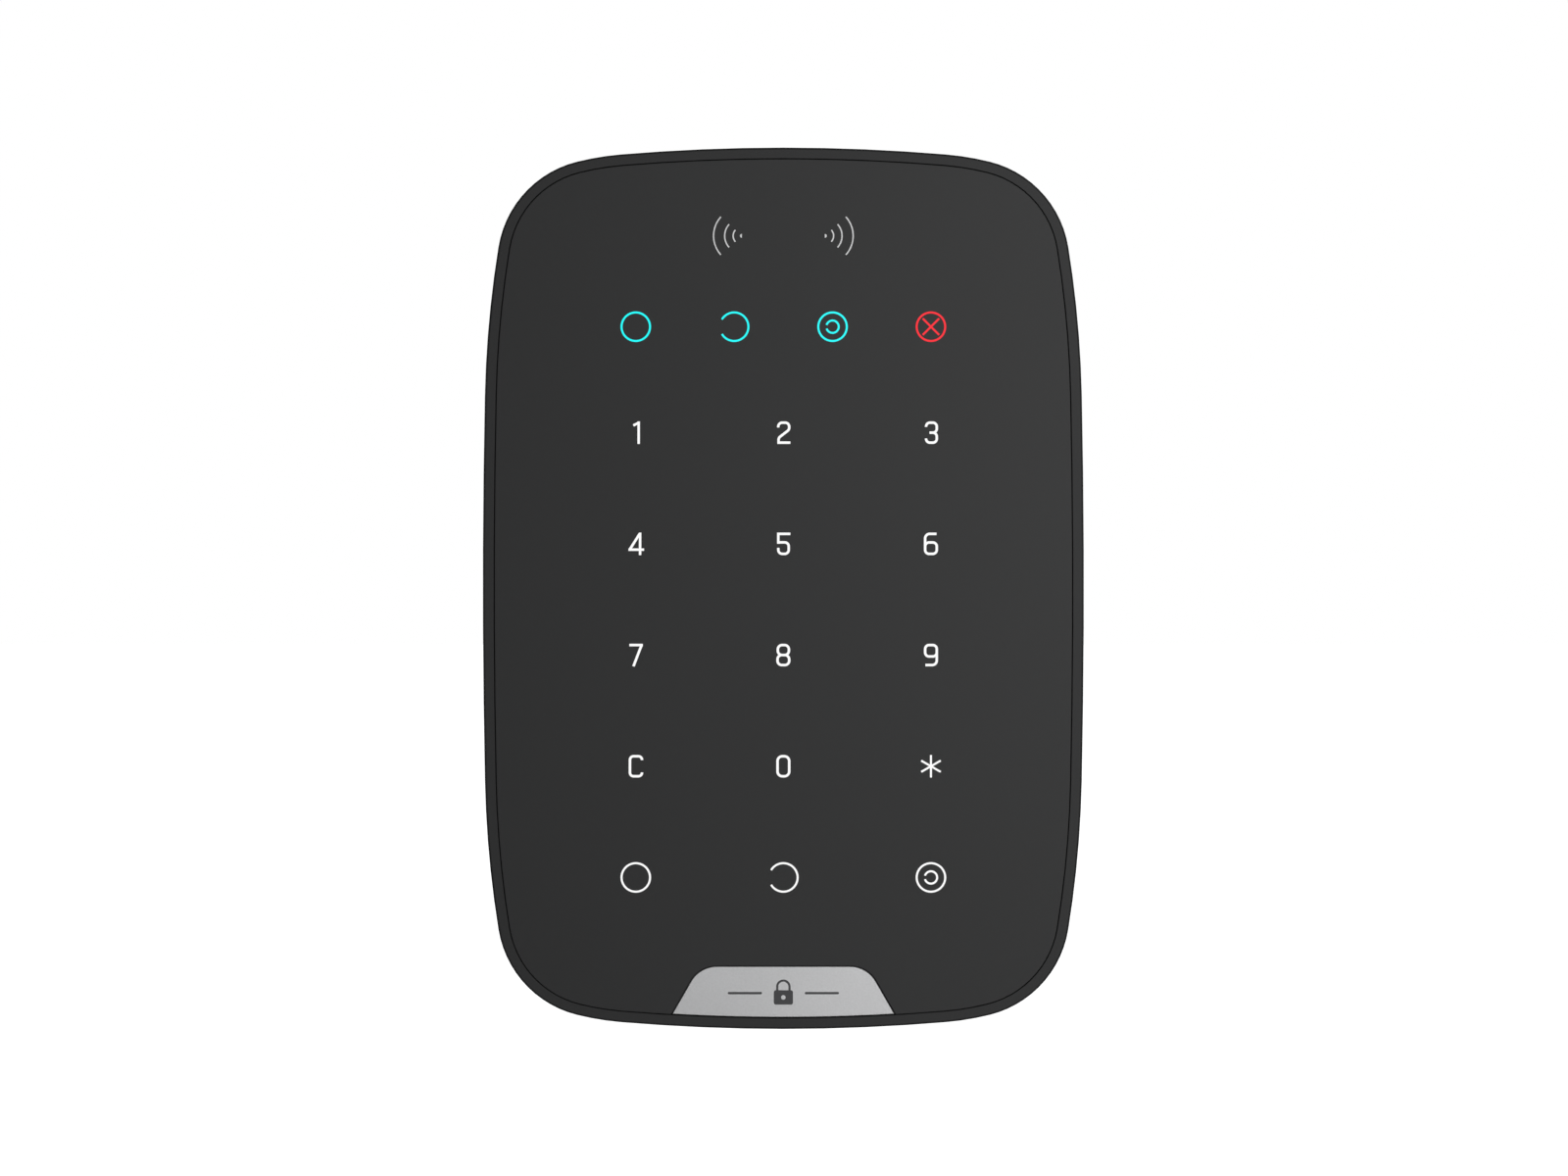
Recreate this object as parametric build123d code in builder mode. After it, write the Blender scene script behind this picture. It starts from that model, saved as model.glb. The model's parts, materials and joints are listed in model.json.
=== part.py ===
from build123d import *
from math import cos, radians, sin, tan
import os

os.makedirs("parts", exist_ok=True)

# ======================================================================
# Wall-mounted card reader with a touch keypad.
# +X runs to the right of the keypad, +Z up, and the front face looks along -Y.
# The origin is the centre of the mounting plate's back face, on the wall.
# Every depth is measured from the wall towards the front, so depth d lies at y = -d.
# ======================================================================

# ---------------------------------------------------------------- overall size
body_width = 112.5
body_height = 165.0
body_depth = 20.0

# Front outline: five tangent arcs from the middle of a side to the middle of the top.
# Each angle is the direction of the outline's normal where two arcs meet.
normal_angles = (0.0, 1.2, 9.2, 76.0, 85.2, 90.0)
shoulder_radius = 200.0
corner_radius = 19.7
brow_radius = 52.0

# ---------------------------------------------------------------- gaps and fits
sliding_gap = 0.3
hang_gap = 0.15
touch_gap = 0.05
panel_gap = 0.12
badge_gap = 0.19
badge_foot_gap = 0.1
pilot_radius = 1.0

# ---------------------------------------------------------------- mounting plate
plate_inset = 3.2
plate_thickness = 1.6
wall_screw_edge = 11.5
wall_screw_spacing_z = 96.0
wall_screw_hole_radius = 2.1
wall_screw_head_radius = 4.0
wall_screw_seat = 1.4
wall_screw_boss_radius = 5.5
wall_screw_boss_front = 2.8
rib_width = 1.4
rib_height = 0.9
back_pocket_size = 14.0
back_pocket_web = 2.4
back_pocket_depth = 0.6
slide_travel = 8.0

hook_width = 6.0
hook_stem_height = 3.0
hook_lip_length = 4.5
hook_lip_thickness = 1.4
hook_upper_z = 34.0
hook_lower_z = -30.0
hook_edge = 1.5

tamper_z = -18.0
tamper_screw_drop = 15.0
tamper_tab_half_width = 8.0
tamper_tab_slot = 1.2
ramp_slope = 0.15
ramp_half_width = 2.6
ramp_low = 0.05

lock_lip_half_width = 8.0
lock_lip_front = 10.5
lock_lip_bottom_inset = 1.1
lock_lip_height = 3.9
lock_screw_depth = 6.2

# ---------------------------------------------------------------- rear shell
shell_back = plate_thickness + sliding_gap
split_depth = body_depth - 7.5
shell_shadow = 0.12
shell_taper = 5.0
shell_wall = 1.5
back_wall = 1.4
back_edge_radius = 1.2
back_inside = shell_back + back_wall
recess_floor = 4.2
recess_inside = recess_floor + back_wall
lip_outer_inset = 1.85
lip_inner_inset = 2.9
lip_height = 1.5
pocket_wall = 1.0

# ---------------------------------------------------------------- bezel and front panel
bezel_wall = 1.7
rim_width = 2.08
front_edge_radius = 0.5
seam_edge_radius = 0.12
panel_thickness = 1.8
panel_back = body_depth - panel_thickness
adhesive_thickness = 0.2
ledge_front = panel_back - adhesive_thickness
ledge_thickness = 1.4
ledge_back = ledge_front - ledge_thickness
ledge_inset = 4.3
panel_inset = rim_width + panel_gap
legend_depth = 0.3

# ---------------------------------------------------------------- batteries and trays
cell_radius = 7.1
cell_length = 49.2
cell_can_thickness = 0.25
cell_button_radius = 2.7
cell_button_length = 1.3
trough_radius = 7.35
trough_floor = 0.5
tray_wall = 1.0
tray_end_wall = 1.3
contact_thickness = 0.4
spring_length = 4.9
cell_play = 0.5
tray_front = panel_back - touch_gap
battery_axis_depth = tray_front - trough_floor - trough_radius
battery_x = body_width / 2 - 14.65
tray_half_width = trough_radius + tray_wall
cell_stack = 2 * (cell_length + cell_button_length) + spring_length
tray_inside_half = (cell_stack + 2 * contact_thickness + cell_play) / 2
tray_half_length = tray_inside_half + tray_end_wall
cover_thickness = 1.1
cover_half_length = tray_half_length + 6.1
cover_half_width = tray_half_width - 0.05
cover_screw_z = tray_half_length + 3.3
cover_block_half_depth = 2.7
cover_block_thickness = 1.3
cover_gap = 0.15
tray_back = shell_back + cover_thickness + 0.2

# ---------------------------------------------------------------- board and light layer
board_thickness = 1.2
board_front = panel_back - 1.5
board_back = board_front - board_thickness
board_half_width = battery_x - tray_half_width - 0.35
board_half_height = body_height / 2 - 11.0
recess_half_width = board_half_width - back_wall
recess_half_height = board_half_height - 5.5
post_x = board_half_width - 4.4
post_z = board_half_height - 3.0
post_radius = 3.0
baffle_back = board_front + 0.2
baffle_front = panel_back - 0.1
baffle_margin = 6.5
light_window = 6.0
diffuser_size = 7.2
diffuser_thickness = 0.6
electrode_radius = 4.9
electrode_ring = 0.9
electrode_thickness = 0.15
electrode_edge = 0.39

# ---------------------------------------------------------------- legends on the front
column_pitch = board_half_width - electrode_radius - electrode_edge
key_row_count = 5
first_row_drop = 53.38
last_row_rise = 28.41
status_row_drop = 33.56
reader_row_drop = 16.56
first_row_z = body_height / 2 - first_row_drop
function_row_z = -body_height / 2 + last_row_rise
row_pitch = (first_row_z - function_row_z) / (key_row_count - 1)
status_row_z = body_height / 2 - status_row_drop
reader_row_z = body_height / 2 - reader_row_drop
digit_height = 4.2
digit_stroke = 0.46
digit_half_width = 1.09
icon_stroke = 0.37
icon_radius = 2.67
inner_icon_radius = 1.157
wave_stroke = 0.25
wave_radii = (5.3, 3.22, 1.64)
wave_half_angle = 42.0
wave_centre_x = 7.76
wave_dot_radius = 0.36

badge_rise = 11.72
badge_top_z = -body_height / 2 + badge_rise
badge_half_top = 15.66
badge_side_angle = 60.2
badge_corner_radius = 5.6
badge_thickness = 0.8
badge_recess = 0.05
emblem_depth = 0.3

# ---------------------------------------------------------------- screws and small parts
case_screw_inset = 6.5
case_screw_head_radius = 2.6
case_screw_head_height = 1.7
case_screw_radius = 1.1
case_screw_seat = 4.4
case_screw_tip = ledge_back - 2.0
boss_radius = 3.2
shell_post_radius = 4.0
case_boss_split = 8.6

insert_radius = 2.3
insert_bore_radius = 1.55
insert_length = 5.0
lock_screw_radius = 1.4
lock_screw_head_radius = 2.7
lock_screw_head_height = 1.6

plunger_radius = 1.5
plunger_flange_radius = 2.5
plunger_flange_thickness = 1.0
plunger_travel = ramp_slope * slide_travel
housing_inner_radius = 2.7
housing_outer_radius = 3.5
housing_back = 6.1
housing_cap = 0.8
plunger_clearance = 0.3
ramp_gap = 0.1

button_x = 14.0
button_z = -8.0
button_radius = 2.5
button_travel = 0.5
button_face = recess_floor - 0.3
button_stem_radius = 1.5
guide_length = 2.4
switch_size = 6.0
switch_height = 3.5
actuator_radius = 1.1
actuator_length = 1.1

# ======================================================================
# Shared shapes
# ======================================================================


def at_depth(depth):
    """Plane parallel to the wall at a depth, drawn in X and Z as seen from the front."""
    return Plane.XZ.offset(depth)


def end_arc_radii():
    """Radii of the side arc and the top arc that make the outline meet the overall width and height."""
    c = [cos(radians(a)) for a in normal_angles]
    s = [sin(radians(a)) for a in normal_angles]
    fixed = (shoulder_radius, corner_radius, brow_radius)
    left_x = body_width / 2 - sum(r * (c[i + 1] - c[i + 2]) for i, r in enumerate(fixed))
    left_z = body_height / 2 - sum(r * (s[i + 2] - s[i + 1]) for i, r in enumerate(fixed))
    side_x, top_x = c[0] - c[1], c[4] - c[5]
    side_z, top_z = s[1] - s[0], s[5] - s[4]
    determinant = side_x * top_z - top_x * side_z
    side_radius = (left_x * top_z - top_x * left_z) / determinant
    top_radius = (side_x * left_z - side_z * left_x) / determinant
    return side_radius, top_radius


side_radius, top_radius = end_arc_radii()
arc_radii = (side_radius, shoulder_radius, corner_radius, brow_radius, top_radius)


def quarter_points(inset):
    """Joints and middles of the five arcs of one quarter, moved inwards by the inset."""
    x, z = body_width / 2 - inset, 0.0
    joints, middles = [(x, z)], []
    for radius, start, end in zip(arc_radii, normal_angles, normal_angles[1:]):
        r = radius - inset
        a, m, b = radians(start), radians((start + end) / 2), radians(end)
        middles.append((x + r * (cos(m) - cos(a)), z + r * (sin(m) - sin(a))))
        x, z = x + r * (cos(b) - cos(a)), z + r * (sin(b) - sin(a))
        joints.append((x, z))
    return joints, middles


def outline(inset):
    """Face inside the front outline moved inwards by the inset: sixteen tangent arcs."""
    joints, middles = quarter_points(inset)

    def turned(point, side, rise):
        return point[0] * side, point[1] * rise

    with BuildSketch() as face:
        with BuildLine():
            for side in (1, -1):
                ends = [turned(joints[1], side, rise) for rise in (-1, 1)]
                ThreePointArc(ends[0], turned(joints[0], side, 1), ends[1])
                for rise in (1, -1):
                    for i in (1, 2, 3):
                        ends = [turned(joints[j], side, rise) for j in (i, i + 1)]
                        ThreePointArc(ends[0], turned(middles[i], side, rise), ends[1])
            for rise in (1, -1):
                top = (0.0, rise * (body_height / 2 - inset))
                ThreePointArc(turned(joints[4], -1, rise), top, turned(joints[4], 1, rise))
        make_face()
    return face.sketch


def corner_point(inset):
    """Point on the diagonal of the corner arc, inset from the outline."""
    joints, _ = quarter_points(0.0)
    a = radians(normal_angles[2])
    centre_x = joints[2][0] - corner_radius * cos(a)
    centre_z = joints[2][1] - corner_radius * sin(a)
    reach = (corner_radius - inset) * cos(radians(45))
    return centre_x + reach, centre_z + reach


def block(x_low, x_high, z_low, z_high, depth_low, depth_high, mode=Mode.ADD):
    """Box between two depths, given by its edges as seen from the front."""
    with Locations(((x_low + x_high) / 2, -(depth_low + depth_high) / 2, (z_low + z_high) / 2)):
        Box(x_high - x_low, depth_high - depth_low, z_high - z_low, mode=mode)


def disc(places, radius, depth_low, depth_high, mode=Mode.ADD):
    """Round bars or holes square to the wall at each (x, z) place."""
    for x, z in places:
        with Locations(Location((x, -(depth_low + depth_high) / 2, z), (90, 0, 0))):
            Cylinder(radius, depth_high - depth_low, mode=mode)


def upright(places, radius, z_low, z_high, mode=Mode.ADD):
    """Vertical round bars or holes at each (x, depth) place."""
    for x, depth in places:
        with Locations((x, -depth, (z_low + z_high) / 2)):
            Cylinder(radius, z_high - z_low, mode=mode)


def cut_block(x_low, x_high, z_low, z_high, depth_low, depth_high):
    """Box taken away between two depths."""
    block(x_low, x_high, z_low, z_high, depth_low, depth_high, mode=Mode.SUBTRACT)


def cut_disc(places, radius, depth_low, depth_high):
    """Round holes square to the wall."""
    disc(places, radius, depth_low, depth_high, mode=Mode.SUBTRACT)


def cut_upright(places, radius, z_low, z_high):
    """Vertical round holes."""
    upright(places, radius, z_low, z_high, mode=Mode.SUBTRACT)


def coil(radius, wire_radius, pitch, height):
    """Helical spring standing on its own base plane."""
    with BuildPart() as spring:
        with BuildLine():
            path = Helix(pitch=pitch, height=height, radius=radius)
        with BuildSketch(path ^ 0):
            Circle(wire_radius)
        sweep(is_frenet=True)
    return spring.part


def loop(half_width, half_height, radius, stroke):
    """Closed rounded loop of a pen stroke."""
    with BuildSketch() as face:
        RectangleRounded(2 * half_width + stroke, 2 * half_height + stroke, radius + stroke / 2)
        inner = max(radius - stroke / 2, 0.05)
        RectangleRounded(2 * half_width - stroke, 2 * half_height - stroke, inner, mode=Mode.SUBTRACT)
    return face.sketch


def pen(points, stroke, radius=0.0):
    """Open pen stroke through the points, with square ends and rounded bends."""
    with BuildSketch() as face:
        with BuildLine():
            if len(points) > 2 and radius:
                FilletPolyline(*points, radius=radius)
            else:
                Polyline(*points)
        trace(line_width=stroke)
    return face.sketch


def ring(radius, stroke, gap_angle=0.0, gap_half_angle=0.0):
    """Circle drawn with a pen, open by twice the half angle about the gap's direction."""
    with BuildSketch() as face:
        if gap_half_angle:
            with BuildLine():
                CenterArc((0, 0), radius, gap_angle + gap_half_angle, 360 - 2 * gap_half_angle)
            trace(line_width=stroke)
        else:
            Circle(radius + stroke / 2)
            Circle(radius - stroke / 2, mode=Mode.SUBTRACT)
    return face.sketch


def joined(*faces):
    """Several strokes as one face."""
    with BuildSketch() as face:
        for stroke in faces:
            add(stroke)
    return face.sketch


def placed(face, x, z):
    """A legend moved to its place on the front."""
    return Pos(x, z) * face


# ======================================================================
# Legends: ten numbers, two marks and the function and status signs
# ======================================================================
half_tall = (digit_height - digit_stroke) / 2
half_wide = digit_half_width
bend = 0.85


def digit_zero():
    return loop(half_wide, half_tall, bend + 0.05, digit_stroke)


def digit_one():
    end_z = half_tall + digit_stroke / 2
    stem = pen([(0.5 * half_wide, -end_z), (0.5 * half_wide, end_z)], digit_stroke)
    flag = pen([(0.5 * half_wide, half_tall - 0.02), (-0.42 * half_wide, 0.72 * half_tall)], digit_stroke)
    return joined(stem, flag)


def digit_two():
    left, waist = -0.82 * half_wide, 0.52 * half_tall
    bow = [(-0.88 * half_wide, waist), (-0.88 * half_wide, half_tall), (half_wide, half_tall),
           (half_wide, 0.3 * half_tall), (left, -waist), (left, 0.1 - half_tall)]
    foot = [(left - digit_stroke / 2, -half_tall), (1.2 * half_wide, -half_tall)]
    return joined(pen(bow, digit_stroke, radius=bend - 0.1), pen(foot, digit_stroke))


def digit_three():
    left = -0.84 * half_wide
    upper = [(left, 0.58 * half_tall), (left, half_tall), (half_wide, half_tall), (half_wide, 0),
             (-0.25 * half_wide, 0)]
    lower = [(x, -z) for x, z in upper]
    return joined(pen(upper, digit_stroke, radius=bend - 0.12), pen(lower, digit_stroke, radius=bend - 0.12))


def digit_four():
    bar_z, end_z = -0.58 * half_tall, half_tall + digit_stroke / 2
    stem = pen([(0.74 * half_wide, end_z), (0.74 * half_wide, -end_z)], digit_stroke)
    slope = pen([(0.66 * half_wide, half_tall), (-1.05 * half_wide, bar_z)], digit_stroke)
    bar = pen([(-1.25 * half_wide, bar_z), (1.42 * half_wide, bar_z)], digit_stroke)
    return joined(stem, slope, bar)


def digit_five():
    left, waist = -0.87 * half_wide, 0.15 * half_tall
    top = pen([(1.2 * half_wide, half_tall), (left, half_tall), (left, 0.02)], digit_stroke)
    right = 0.92 * half_wide
    bowl = [(left, waist), (right, waist), (right, -half_tall), (left, -half_tall), (left, -0.4 * half_tall)]
    return joined(top, pen(bowl, digit_stroke, radius=bend - 0.1))


def digit_six():
    bowl_half = 0.57 * half_tall
    bowl = placed(loop(half_wide, bowl_half, bend - 0.1, digit_stroke), 0, bowl_half - half_tall)
    arm = [(0.95 * half_wide, half_tall), (-half_wide, half_tall), (-half_wide, -0.3 * half_tall)]
    return joined(bowl, pen(arm, digit_stroke, radius=bend))


def digit_seven():
    top = pen([(-1.1 * half_wide, half_tall), (half_wide + digit_stroke / 2, half_tall)], digit_stroke)
    slope = pen([(half_wide, half_tall), (-0.4 * half_wide, -half_tall - digit_stroke / 2)], digit_stroke)
    return joined(top, slope)


def digit_eight():
    half = half_tall / 2
    upper = placed(loop(0.95 * half_wide, half, bend - 0.05, digit_stroke), 0, half)
    lower = placed(loop(half_wide, half, bend - 0.05, digit_stroke), 0, -half)
    return joined(upper, lower)


def digit_nine():
    return Rot(0, 0, 180) * digit_six()


def letter_clear():
    right, end_z = 1.07 * half_wide, 0.62 * half_tall
    bow = [(right, end_z), (right, half_tall), (-half_wide, half_tall), (-half_wide, -half_tall),
           (right, -half_tall), (right, -end_z)]
    return pen(bow, digit_stroke, radius=0.36 * half_tall)


def star():
    half = half_tall + digit_stroke / 2
    arms = []
    for angle in (90, 30, -30):
        reach = (half * cos(radians(angle)), half * sin(radians(angle)))
        arms.append(pen([(-reach[0], -reach[1]), reach], icon_stroke))
    return joined(*arms)


def closed_sign():
    return ring(icon_radius, icon_stroke)


def open_sign():
    return ring(icon_radius, icon_stroke, gap_angle=180, gap_half_angle=31)


def night_sign():
    return joined(closed_sign(), ring(inner_icon_radius, icon_stroke, gap_angle=180, gap_half_angle=17))


def fault_sign():
    arm = 0.81 * icon_radius * cos(radians(45))
    strokes = [pen([(-arm, -side * arm), (arm, side * arm)], icon_stroke) for side in (1, -1)]
    return joined(closed_sign(), *strokes)


def waves(side):
    """Three growing arcs and half a dot that open to one side of the card area."""
    with BuildSketch() as face:
        for radius in wave_radii:
            with BuildLine():
                CenterArc((0, 0), radius, 90 - 90 * side - wave_half_angle, 2 * wave_half_angle)
            trace(line_width=wave_stroke)
        Circle(wave_dot_radius)
        with Locations((-side * wave_dot_radius, 0)):
            Rectangle(2 * wave_dot_radius, 2 * wave_dot_radius, mode=Mode.SUBTRACT)
    return placed(face.sketch, side * wave_centre_x, reader_row_z)


columns = (-column_pitch, 0.0, column_pitch)
key_rows = [first_row_z - i * row_pitch for i in range(key_row_count - 1)]
digit_places = [(x, z) for z in key_rows for x in columns]
function_places = [(x, function_row_z) for x in columns]
status_places = [(column_pitch * (2 * i - 3) / 3, status_row_z) for i in range(4)]
key_places = digit_places + function_places
light_places = key_places + status_places

digit_shapes = (
    digit_one, digit_two, digit_three, digit_four, digit_five, digit_six,
    digit_seven, digit_eight, digit_nine, letter_clear, digit_zero, star,
)
digit_faces = [placed(shape(), x, z) for shape, (x, z) in zip(digit_shapes, digit_places)]
sign_shapes = (closed_sign, open_sign, night_sign)
function_faces = [placed(sign(), x, z) for sign, (x, z) in zip(sign_shapes, function_places)]
status_faces = [placed(sign(), x, z) for sign, (x, z) in zip(sign_shapes, status_places)]
fault_faces = [placed(fault_sign(), *status_places[3])]
wave_faces = [waves(side) for side in (-1, 1)]


def legend_layer(faces, depth, thickness, mode=Mode.ADD):
    """Thin layer in the shape of the legends, from a depth towards the front."""
    with BuildSketch(at_depth(depth)) as layer:
        for face in faces:
            add(face)
    extrude(layer.sketch, amount=thickness, mode=mode)


def badge_face(gap, foot_inset):
    """Badge outline, grown by the gap on its top and slanted sides and cut off inside the front outline."""
    half, top = badge_half_top + gap, badge_top_z + gap
    drop = badge_top_z + body_height / 2
    spread = half + drop / tan(radians(badge_side_angle))
    with BuildSketch() as face:
        Polygon((-half, top), (half, top), (spread, top - drop), (-spread, top - drop), align=None)
        fillet(face.vertices().group_by(Axis.Y)[-1], badge_corner_radius)
        add(outline(foot_inset), mode=Mode.INTERSECT)
    return face.sketch


def emblem_face():
    """Plain padlock between two short bars."""
    middle = (badge_top_z - body_height / 2 + panel_inset) / 2
    with BuildSketch() as face:
        with Locations((0, middle - 1.0)):
            RectangleRounded(3.6, 2.7, 0.4)
            Circle(0.42, mode=Mode.SUBTRACT)
        for side in (-1, 1):
            with Locations((side * 7.2, middle - 0.2)):
                RectangleRounded(6.4, 0.45, 0.2)
        with BuildLine():
            CenterArc((0, middle + 1.0), 1.15, 0, 180)
            Line((1.15, middle + 1.0), (1.15, middle + 0.2))
            Line((-1.15, middle + 1.0), (-1.15, middle + 0.2))
        trace(line_width=0.42)
    return face.sketch


# ======================================================================
# Mounting plate: stays on the wall and carries the reader on four hooks
# ======================================================================
hook_x = recess_half_width - hook_width / 2 - hook_edge
hook_places = [(side * hook_x, z) for side in (-1, 1) for z in (hook_upper_z, hook_lower_z)]
hook_lip_back = recess_inside + sliding_gap
hook_lip_front = hook_lip_back + hook_lip_thickness
wall_screw_places = [
    (sx * (recess_half_width - wall_screw_edge), sz * wall_screw_spacing_z / 2)
    for sx in (-1, 1)
    for sz in (-1, 1)
]
tamper_screw_z = tamper_z - tamper_screw_drop
screw_places = wall_screw_places + [(0.0, tamper_screw_z)]
tab_top = tamper_z + slide_travel + 3.4
tab_bottom = tamper_screw_z - tamper_tab_half_width
ramp_start = tamper_z - 3.0
ramp_end = tamper_z + slide_travel + 1.0
back_pocket_pitch = back_pocket_size + back_pocket_web
outer_pocket_x = hook_x + hook_width / 2 + 0.4 + back_pocket_web + back_pocket_size / 2
inner_pocket_x = back_pocket_pitch / 2
back_pocket_places = [
    (side * x, i * back_pocket_pitch)
    for side in (-1, 1)
    for x, rows in ((outer_pocket_x, range(-3, 4)), (inner_pocket_x, (-4, 1, 2, 4)))
    for i in rows
]
lip_bottom = -body_height / 2 + lock_lip_bottom_inset
lip_top = lip_bottom + lock_lip_height


def ramp_depth(z):
    """Depth of the ramp's face where the plunger's tip meets it."""
    return plate_thickness + ramp_low + ramp_slope * (tamper_z + slide_travel - z)


with BuildPart() as mounting_plate:
    with BuildSketch(at_depth(0)):
        add(outline(plate_inset))
    extrude(amount=plate_thickness)
    chamfer(mounting_plate.faces().sort_by(Axis.Y)[0].edges(), 0.4)
    # Shallow pockets in the wall side that keep the plate flat as it cools in the mould
    with BuildSketch(at_depth(0)):
        with Locations(*back_pocket_places):
            RectangleRounded(back_pocket_size, back_pocket_size, 1.0)
    extrude(amount=back_pocket_depth, mode=Mode.SUBTRACT)
    disc(screw_places, wall_screw_boss_radius, plate_thickness - 0.2, wall_screw_boss_front)
    # Stiffening ribs on both sides of the breakaway tab
    for side in (-1, 1):
        x = side * (tamper_tab_half_width + 3.2)
        block(x - rib_width / 2, x + rib_width / 2, tab_bottom - 3, hook_upper_z, plate_thickness - 0.2,
              plate_thickness + rib_height)
    # Hooks: a short stem with a lip that points up
    for x, z in hook_places:
        stem_low, stem_high = z - hook_stem_height / 2, z + hook_stem_height / 2
        left, right = x - hook_width / 2, x + hook_width / 2
        block(left, right, stem_low, stem_high, plate_thickness - 0.2, hook_lip_front)
        block(left, right, stem_low, stem_high + hook_lip_length, hook_lip_back, hook_lip_front)
        cut_block(left - 0.4, right + 0.4, stem_high + 0.3, stem_high + hook_lip_length + 0.6,
                  -1, plate_thickness + 0.2)
    # Ramp that holds the tamper plunger in while the reader hangs in place
    with BuildSketch(Plane.YZ.offset(-ramp_half_width)):
        Polygon((-plate_thickness + 0.3, ramp_start), (-ramp_depth(ramp_start), ramp_start),
                (-ramp_depth(ramp_end), ramp_end), (-plate_thickness + 0.3, ramp_end), align=None)
    extrude(amount=2 * ramp_half_width)
    # Lip at the bottom edge for the locking screw
    block(-lock_lip_half_width, lock_lip_half_width, lip_bottom, lip_top, 0, lock_lip_front)
    chamfer(mounting_plate.edges().filter_by(Axis.X).group_by(Axis.Y)[0], 0.5)
    cut_upright([(0, lock_screw_depth)], lock_screw_radius + 0.3, lip_bottom - 1, lip_top + 1)
    cut_upright([(0, lock_screw_depth)], lock_screw_head_radius + 0.3, lip_bottom - 1,
                lip_bottom + lock_screw_head_height + 0.2)
    # Screw holes with flat seats for the heads
    cut_disc(screw_places, wall_screw_hole_radius, -1, wall_screw_boss_front + 1)
    cut_disc(screw_places, wall_screw_head_radius, wall_screw_seat, wall_screw_boss_front + 1)
    # Slots round the breakaway tab, with thin bridges between them
    slot_rows = (tab_top + tamper_tab_slot / 2, tab_bottom - tamper_tab_slot / 2)
    slot_run = (tab_top - tab_bottom - 4.0) / 3
    for z in slot_rows:
        for side in (-1, 1):
            with Locations((side * (tamper_tab_half_width / 2 + 0.9), -plate_thickness / 2, z)):
                Box(tamper_tab_half_width - 0.2, plate_thickness + 1, tamper_tab_slot, mode=Mode.SUBTRACT)
    for side in (-1, 1):
        for i in range(3):
            z = tab_bottom + slot_run / 2 + i * (slot_run + 2.0)
            with Locations((side * (tamper_tab_half_width + tamper_tab_slot / 2), -plate_thickness / 2, z)):
                Box(tamper_tab_slot, plate_thickness + 1, slot_run, mode=Mode.SUBTRACT)
    # Arrow that shows which way is up
    arrow_z = hook_upper_z + 18
    with BuildSketch(at_depth(plate_thickness - 0.1)):
        Polygon((-4, arrow_z), (4, arrow_z), (0, arrow_z + 7), align=None)
        with Locations((0, arrow_z - 3.5)):
            Rectangle(3, 7.4)
    extrude(amount=0.6)
mounting_plate.part.label = "mounting_plate"

with BuildPart() as locking_screw:
    head_low = lip_bottom + 0.2
    head_high = lip_bottom + lock_screw_head_height + 0.2
    upright([(0, lock_screw_depth)], lock_screw_head_radius, head_low, head_high)
    chamfer(locking_screw.edges().group_by(Axis.Z)[0], 0.3)
    upright([(0, lock_screw_depth)], lock_screw_radius, head_high - 0.1, lip_top + 1.5 + insert_length)
    chamfer(locking_screw.edges().group_by(Axis.Z)[-1], 0.35)
    with BuildSketch(Plane.XY.offset(head_low)):
        with Locations((0, -lock_screw_depth)):
            RegularPolygon(1.25, 6)
    extrude(amount=1.0, mode=Mode.SUBTRACT)
locking_screw.part.label = "locking_screw"

# ======================================================================
# Rear shell
# ======================================================================
case_corner = corner_point(case_screw_inset)
case_screw_places = [(sx * case_corner[0], sz * case_corner[1]) for sx in (-1, 1) for sz in (-1, 1)]
post_places = [(sx * post_x, sz * post_z) for sx in (-1, 1) for sz in (-1, 1)]
cover_screw_places = [(sx * battery_x, sz * cover_screw_z) for sx in (-1, 1) for sz in (-1, 1)]
pocket_half_width = hook_width / 2 + 0.35
pocket_front = hook_lip_front + sliding_gap
notch_half_width = lock_lip_half_width + 0.3
notch_top = lip_top + 0.5
notch_front = lock_lip_front + 0.3
insert_low = notch_top + 1.2
insert_high = insert_low + insert_length
block_back = shell_back + cover_thickness
block_front = block_back + cover_block_thickness
buzzer_place = (-14.0, 14.0)

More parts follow.
